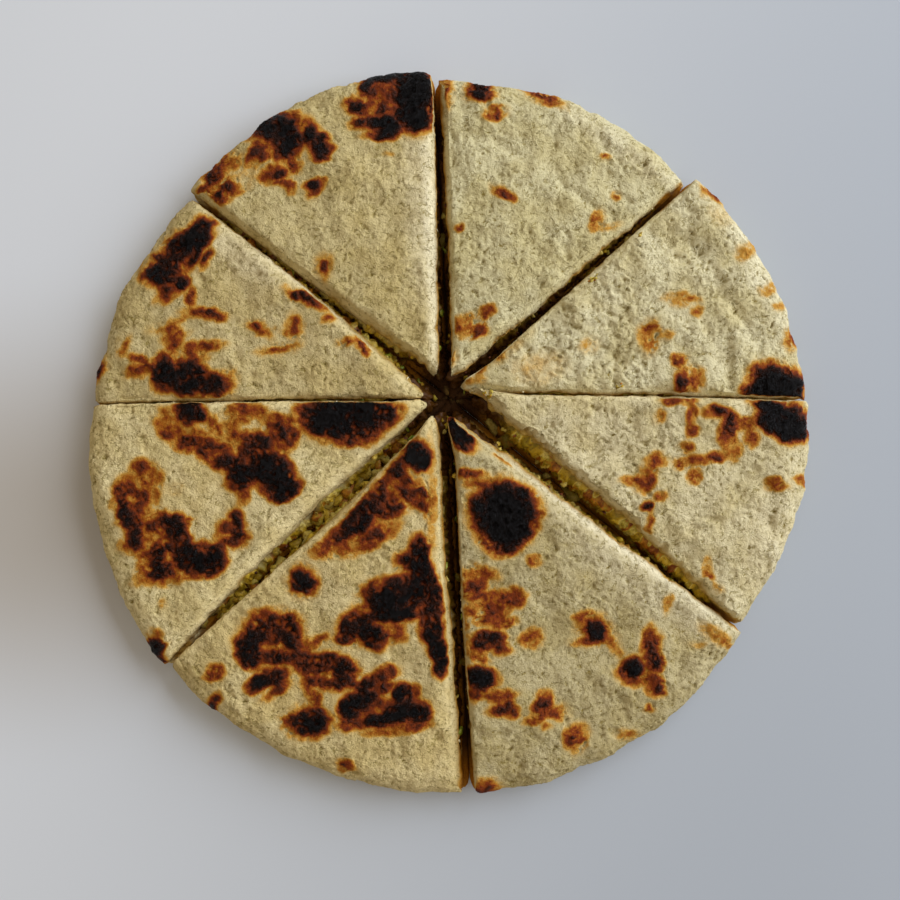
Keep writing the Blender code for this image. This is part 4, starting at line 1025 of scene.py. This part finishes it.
def fillingPiece(wedgeName, material):
    shape, look = fillingShape, wedgeLooks[wedgeName]
    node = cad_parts[f"{wedgeName}_filling"]
    mesh = evenMesh(node, shape["voxel"] * mm * (1))
    doughTree = treeOf(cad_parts[f"{wedgeName}_dough"])
    refineWhere(mesh, awayFrom(pointsOf(mesh) / mm, doughTree) > 0.5)
    points, normals = pointsOf(mesh) / mm, pointsOf(mesh, "normal")
    bare = smoothStep(awayFrom(points, doughTree), 0.32, 0.8)
    depth = domeHeight(points) - points[:, 2] - doughShape["crust"]
    covered, soakAndGapShade = np.zeros((2, len(points)))
    bulge = np.zeros((len(points), 2))
    fromCentre = np.linalg.norm(points[:, :2] - knifeCentre, axis=1)
    nearKnife = 1 - smoothStep(fromCentre, 12, 22)
    for side, wayOut in enumerate(cutWays(look)):
        edge = look["edges"][side]
        away = awayFrom(points, treeOf(node, wayOut))
        leaning = np.minimum(reachOut(points, away, edge["reach"]) * smoothStep(depth, 6, 1), 0)
        bulge += wayOut * leaning[:, None]
        facing = (normals[:, :2] @ wayOut > 0.3) | ((away < 1.5) & (depth < 1))
        # an apron of crust covers it from the top down
        hidden = smoothStep(depth - apronLength(points, edge["apron"], side), 0.4, -0.4) * facing
        covered = np.maximum(covered, hidden)
        bulge -= wayOut * (0.6 * hidden * smoothStep(away, 1.5, 0.2))[:, None]
        # soaked curd, darker lower down: soaked, and painted shade in the gap
        soakedAndShaded = 0.5 * edge["soakedAndShaded"] + 0.35 * smoothStep(edge["soakedAndShaded"], 0.7, 1)
        soakedAndShaded = soakedAndShaded + (0.1 + 0.5 * edge["soakedAndShaded"]) * smoothStep(points[:, 2], 8, 4)
        soakAndGapShade = np.maximum(soakAndGapShade, soakedAndShaded * facing)
        swollen = (1 - edge["soakedAndShaded"]) ** 2 * 1.3 * facing * bare * (1 - covered) * (1 - nearKnife)
        bulge += wayOut * swollen[:, None]
    curdSize, curdHeight = shape["curds"]
    grainSize, grainHeight = shape["grains"]
    _, chance = scatteredSpots(points, curdSize, 1.2, 51)
    lumps = np.abs(softNoise(points + 0.4 * softNoise(points, 1.5, 52)[:, None], curdSize, 54, 2))
    relief = curdHeight * (1.5 * lumps - 0.4) + grainHeight * softNoise(points, grainSize, 53, 2)
    relief = relief * (1 - covered) - 0.8 * covered
    points += normals * (relief * bare)[:, None]
    points[:, :2] += bulge
    setPoints(mesh, points * mm)
    setAttribute(mesh, "curd", chance)
    # darkest near the middle, where the cuts cross: painted shade
    setAttribute(mesh, "soakAndGapShade", np.clip(soakAndGapShade + 0.25 * softNoise(points, 3.0, 57) + nearKnife, 0, 1))
    setAttribute(mesh, "smeared", 0.9 * covered * smoothStep(fromCentre, 12, 18))
    openFilling.append(surfaceWhere(mesh, bare * (1 - covered)))
    return newPiece(f"{wedgeName}Filling", mesh, material, "filling", node.name)


def surfaceWhere(mesh, weight):
    # the triangles on which the weight is above nothing, as (points, triangles, weights)
    mesh.calc_loop_triangles()
    corners = np.empty(len(mesh.loop_triangles) * 3, np.int32)
    mesh.loop_triangles.foreach_get("vertices", corners)
    corners = corners.reshape(-1, 3)
    corners = corners[(weight[corners] > 0.01).all(axis=1)]
    used, corners = np.unique(corners, return_inverse=True)
    return pointsOf(mesh)[used], corners.reshape(-1, 3), weight[used]


def gapFloors(gaps):
    # the strips low in the gaps between wedges, as surfaceWhere gives them
    strips = []
    for direction, start, end, height, halfWide, shift, weight in gaps:
        turn = math.radians(direction)
        along = np.array((math.cos(turn), math.sin(turn)))
        aside = np.array((-math.sin(turn), math.cos(turn)))
        plan = [knifeCentre + along * far + aside * (shift + wide)
                for far, wide in ((start, -halfWide), (end, -halfWide), (end, halfWide), (start, halfWide))]
        points = np.array([(x, y, height) for x, y in plan]) * mm
        strips.append((points, np.array(((0, 1, 2), (0, 2, 3))), np.full(4, weight)))
    return strips


def joinedSurface(name, surfaces):
    mesh = bpy.data.meshes.new(name)
    starts = np.cumsum([0] + [len(points) for points, _, _ in surfaces])
    corners = np.concatenate([corners + start for (_, corners, _), start in zip(surfaces, starts)])
    points = np.concatenate([points for points, _, _ in surfaces])
    mesh.from_pydata(points.tolist(), [], corners.tolist())
    setAttribute(mesh, "loose", np.concatenate([weight for _, _, weight in surfaces]))
    return mesh


def bitsTree(name, material):
    # scatters lumpy bits over a surface, more where its points are looser
    tree = bpy.data.node_groups.new(name, "GeometryNodeTree")
    for socket, kind in (("Surface", "Geometry"), ("Bits per square metre", "Float"), ("Smallest", "Vector"),
                         ("Largest", "Vector"), ("Tilt", "Float"), ("Seed", "Int")):
        tree.interface.new_socket(socket, in_out="INPUT", socket_type=f"NodeSocket{kind}")
    tree.interface.new_socket("Bits", in_out="OUTPUT", socket_type="NodeSocketGeometry")
    given = addNode(tree, "NodeGroupInput").outputs
    # one lumpy bit, a metre across until it is scaled
    cube = addNode(tree, "GeometryNodeMeshCube", {"Size": (1, 1, 1), "Vertices X": 3, "Vertices Y": 3,
                   "Vertices Z": 3}, "Mesh")
    spot = addNode(tree, "GeometryNodeInputPosition", output="Position")
    ball = addNode(tree, "ShaderNodeVectorMath", {0: spot}, "Vector", operation="NORMALIZE")
    ball = addNode(tree, "ShaderNodeVectorMath", {0: ball, "Scale": 0.25}, "Vector", operation="SCALE")
    blunt = addNode(tree, "ShaderNodeVectorMath", {0: spot, "Scale": 0.5}, "Vector", operation="SCALE")
    rounded = addNode(tree, "ShaderNodeVectorMath", {0: ball, 1: blunt}, "Vector", operation="ADD")
    lumps = addNode(tree, "ShaderNodeTexNoise", {"Scale": 1.4, "Detail": 1.0}, "Color")
    lumps = addNode(tree, "ShaderNodeVectorMath", {0: lumps, 1: (0.5, 0.5, 0.5)}, "Vector",
                    operation="SUBTRACT")
    lumps = addNode(tree, "ShaderNodeVectorMath", {0: lumps, "Scale": 1.1}, "Vector", operation="SCALE")
    lumpy = addNode(tree, "ShaderNodeVectorMath", {0: rounded, 1: lumps}, "Vector", operation="ADD")
    bit = addNode(tree, "GeometryNodeSetPosition", {"Geometry": cube, "Position": lumpy}, "Geometry")
    # where they lie
    loose = addNode(tree, "GeometryNodeInputNamedAttribute", {"Name": "loose"}, "Attribute",
                    data_type="FLOAT")
    dense = addNode(tree, "ShaderNodeMath", {0: loose, 1: given["Bits per square metre"]}, "Value",
                    operation="MULTIPLY")
    spread = addNode(tree, "GeometryNodeDistributePointsOnFaces", {"Mesh": given["Surface"],
                     "Density": dense, "Seed": given["Seed"]})
    size = addNode(tree, "FunctionNodeRandomValue", {"Min": given["Smallest"], "Max": given["Largest"],
                   "Seed": given["Seed"]}, "Value", data_type="FLOAT_VECTOR")
    tilt = addNode(tree, "ShaderNodeCombineXYZ", {"X": given["Tilt"], "Y": given["Tilt"], "Z": math.pi},
                   "Vector")
    back = addNode(tree, "ShaderNodeVectorMath", {0: tilt, "Scale": -1.0}, "Vector", operation="SCALE")
    lie = addNode(tree, "FunctionNodeRandomValue", {"Min": back, "Max": tilt, "Seed": 7}, "Value",
                  data_type="FLOAT_VECTOR")
    lie = addNode(tree, "FunctionNodeEulerToRotation", {"Euler": lie}, "Rotation")
    lie = addNode(tree, "FunctionNodeRotateRotation", {"Rotation": spread.outputs["Rotation"],
                  "Rotate By": lie}, "Rotation", rotation_space="LOCAL")
    bits = addNode(tree, "GeometryNodeInstanceOnPoints", {"Points": spread.outputs["Points"],
                   "Instance": bit, "Rotation": lie, "Scale": size}, "Instances")
    tint = addNode(tree, "FunctionNodeRandomValue", {"Seed": 11}, 1, data_type="FLOAT")
    bits = addNode(tree, "GeometryNodeStoreNamedAttribute", {"Geometry": bits, "Name": "curd",
                   "Value": tint}, "Geometry", domain="INSTANCE", data_type="FLOAT")
    bits = addNode(tree, "GeometryNodeRealizeInstances", {"Geometry": bits}, "Geometry")
    bits = addNode(tree, "GeometryNodeSetMaterial", {"Geometry": bits, "Material": material}, "Geometry")
    addNode(tree, "NodeGroupOutput", {"Bits": bits})
    return tree


def scatter(name, surfaces, sizes, material, slot):
    surface = joinedSurface(name, surfaces)
    holder = bpy.data.objects.new(name, surface)
    bpy.context.scene.collection.objects.link(holder)
    tree = bitsTree(name, material)
    spread = holder.modifiers.new(name, "NODES")
    spread.node_group = tree
    for item in tree.interface.items_tree:
        if item.name in sizes:
            spread[item.identifier] = sizes[item.name]
    graph = bpy.context.evaluated_depsgraph_get()
    mesh = bpy.data.meshes.new_from_object(holder.evaluated_get(graph))
    bpy.data.objects.remove(holder)
    bpy.data.meshes.remove(surface)
    # darker lower in the gaps: soaked, and painted shade
    setAttribute(mesh, "soakAndGapShade", litter["soakAndGapShade"] * smoothStep(pointsOf(mesh)[:, 2] / mm, 10, 4))
    print(name, len(mesh.polygons), "faces")
    return newPiece(name, mesh, material, slot)


# Chopped chilli is moist and a little glossy, fried spice is brown and dry, and baked crumb is pale and
# matt: how rough each is, and its colours.
bitLooks = {
    "choppedGreenChilli": (0.35, ((0.3, "#4f5f12"), (0.5, "#8a9424"), (0.7, "#b0b04a"))),
    "friedSpice": (0.5, ((0.35, "#2c1206"), (0.5, "#5c2a0c"), (0.65, "#a85a18"))),
    "bakedWheatCrumb": (0.8, ((0.35, "#cdbb86"), (0.6, "#e6dab0"))),
}


def bitMaterial(name):
    roughness, colours = bitLooks[name]
    material, tree, shader, place = newMaterial(name)
    mottle = addNode(tree, "ShaderNodeTexNoise", {"Vector": place, "Scale": perMetre(1.2), "Detail": 3.0},
                     "Fac")
    colour = setStops(addNode(tree, "ShaderNodeValToRGB", {"Fac": mottle}), colours)
    tree.links.new(colour, shader.inputs["Base Color"])
    shader.inputs["Roughness"].default_value = roughness
    shader.inputs["IOR"].default_value = fillingLook["ior"]
    return material


looseCrumb, openFilling, straySpots = [], [], []
dough, filling = doughMaterial(), fillingMaterial()
for number, wedgeName in enumerate(wedgeNames, start=1):
    doughFaces = len(doughPiece(wedgeName, number, dough).data.polygons)
    fillingFaces = len(fillingPiece(wedgeName, filling).data.polygons)
    print(wedgeName, "dough", doughFaces, "filling", fillingFaces, "faces")

chilli, spice, crumb = (bitMaterial(name) for name in bitLooks)
scatter("fallenCurds", gapFloors(litter["gaps"]), litter["curds"], filling, "filling")
scatter("strayCrumbs", straySpots, litter["strayCrumbs"], filling, "filling")
scatter("looseGrains", openFilling, litter["grains"], filling, "filling")
scatter("chilliBits", openFilling, litter["chilli"], chilli, "filling")
scatter("spiceSpecks", openFilling, litter["spice"], spice, "filling")
scatter("doughCrumbs", looseCrumb, litter["crumbs"], crumb, "dough")


# Pale matt laminate under a bread that a large window lights from the right, in mm and degrees.
studio = {
    "camera": (0.3, -4.6, 290.0), "angle": 47.4, "nearest": 10.0,  # straight overhead
    "keyFrom": (28.0, 28.0), "keyAway": 2000.0, "keySize": (2600.0, 1500.0), "keyPower": 65.8,
    "keyColour": "#e6eefc", "world": "#fff0dd", "worldStrength": 0.43,
    # the floor's two tones are painted light: paler to the upper left, darker to the lower right
    "floorSize": 4000.0, "floor": ("#d9dde0", "#adb4bb"), "floorRoughness": 0.6,
    "floorReach": 135.0, "floorWay": (0.9, -0.28, 0.0),  # how far and which way its tones change
    # painted shadow: a darker, warmer floor to the left of the bread
    "warm": ("#b6b0a6", (-122.0, -25.0, 0.0), (5.0, 75.0)),  # its tone in the room's shade, where, how far
}


def studioFloor():
    bpy.ops.mesh.primitive_plane_add(size=studio["floorSize"] * mm)
    floor = bpy.context.object
    floor.name = "floor"
    paper, tree, shader, place = newMaterial("paleMattLaminate")
    across = addNode(tree, "ShaderNodeVectorMath", {0: place, 1: studio["floorWay"]}, "Value",
                     operation="DOT_PRODUCT")
    share = addNode(tree, "ShaderNodeMapRange", {"Value": across, "From Min": -studio["floorReach"] * mm,
                    "From Max": studio["floorReach"] * mm}, "Result", interpolation_type="SMOOTHSTEP")
    # painted light: the floor is paler to the upper left and darker to the lower right
    paintedLightTones = [linear(tone) for tone in studio["floor"]]
    colour = addNode(tree, "ShaderNodeMix", {0: share, 6: paintedLightTones[0], 7: paintedLightTones[1]}, 2, data_type="RGBA")
    # painted shadow on the floor, to the left of the bread
    roomShadowTone, roomShadowSpot, (full, none) = studio["warm"]
    away = addNode(tree, "ShaderNodeVectorMath", {0: place, 1: [part * mm for part in roomShadowSpot]}, "Value",
                   operation="DISTANCE")
    roomShadow = addNode(tree, "ShaderNodeMapRange", {"Value": away, "From Min": none * mm,
                     "From Max": full * mm}, "Result", interpolation_type="SMOOTHSTEP")
    colour = addNode(tree, "ShaderNodeMix", {0: roomShadow, 6: colour, 7: linear(roomShadowTone)}, 2,
                     data_type="RGBA")
    tree.links.new(colour, shader.inputs["Base Color"])
    shader.inputs["Roughness"].default_value = studio["floorRoughness"]
    floor.data.materials.append(paper)


def studioLight():
    azimuth, elevation = (math.radians(angle) for angle in studio["keyFrom"])
    direction = Vector((math.cos(azimuth) * math.cos(elevation), math.sin(azimuth) * math.cos(elevation),
                        math.sin(elevation)))
    lamp = bpy.data.lights.new("window", "AREA")
    lamp.shape = "RECTANGLE"
    lamp.size, lamp.size_y = (side * mm for side in studio["keySize"])
    lamp.energy = studio["keyPower"]
    lamp.color = linear(studio["keyColour"])[:3]
    holder = bpy.data.objects.new("window", lamp)
    holder.location = direction * studio["keyAway"] * mm
    holder.rotation_euler = direction.to_track_quat("Z", "Y").to_euler()
    bpy.context.scene.collection.objects.link(holder)
    world = bpy.data.worlds.new("room")
    world.use_nodes = True
    background = world.node_tree.nodes["Background"]
    background.inputs["Color"].default_value = linear(studio["world"])
    background.inputs["Strength"].default_value = studio["worldStrength"]
    bpy.context.scene.world = world


def studioCamera():
    lens = bpy.data.cameras.new("overhead")
    lens.angle = math.radians(studio["angle"])
    lens.clip_start = studio["nearest"] * mm
    holder = bpy.data.objects.new("overhead", lens)
    holder.location = [part * mm for part in studio["camera"]]
    bpy.context.scene.collection.objects.link(holder)
    bpy.context.scene.camera = holder


studioFloor()
studioLight()
studioCamera()
bpy.context.scene.view_settings.view_transform = "Standard"
print("studio set")
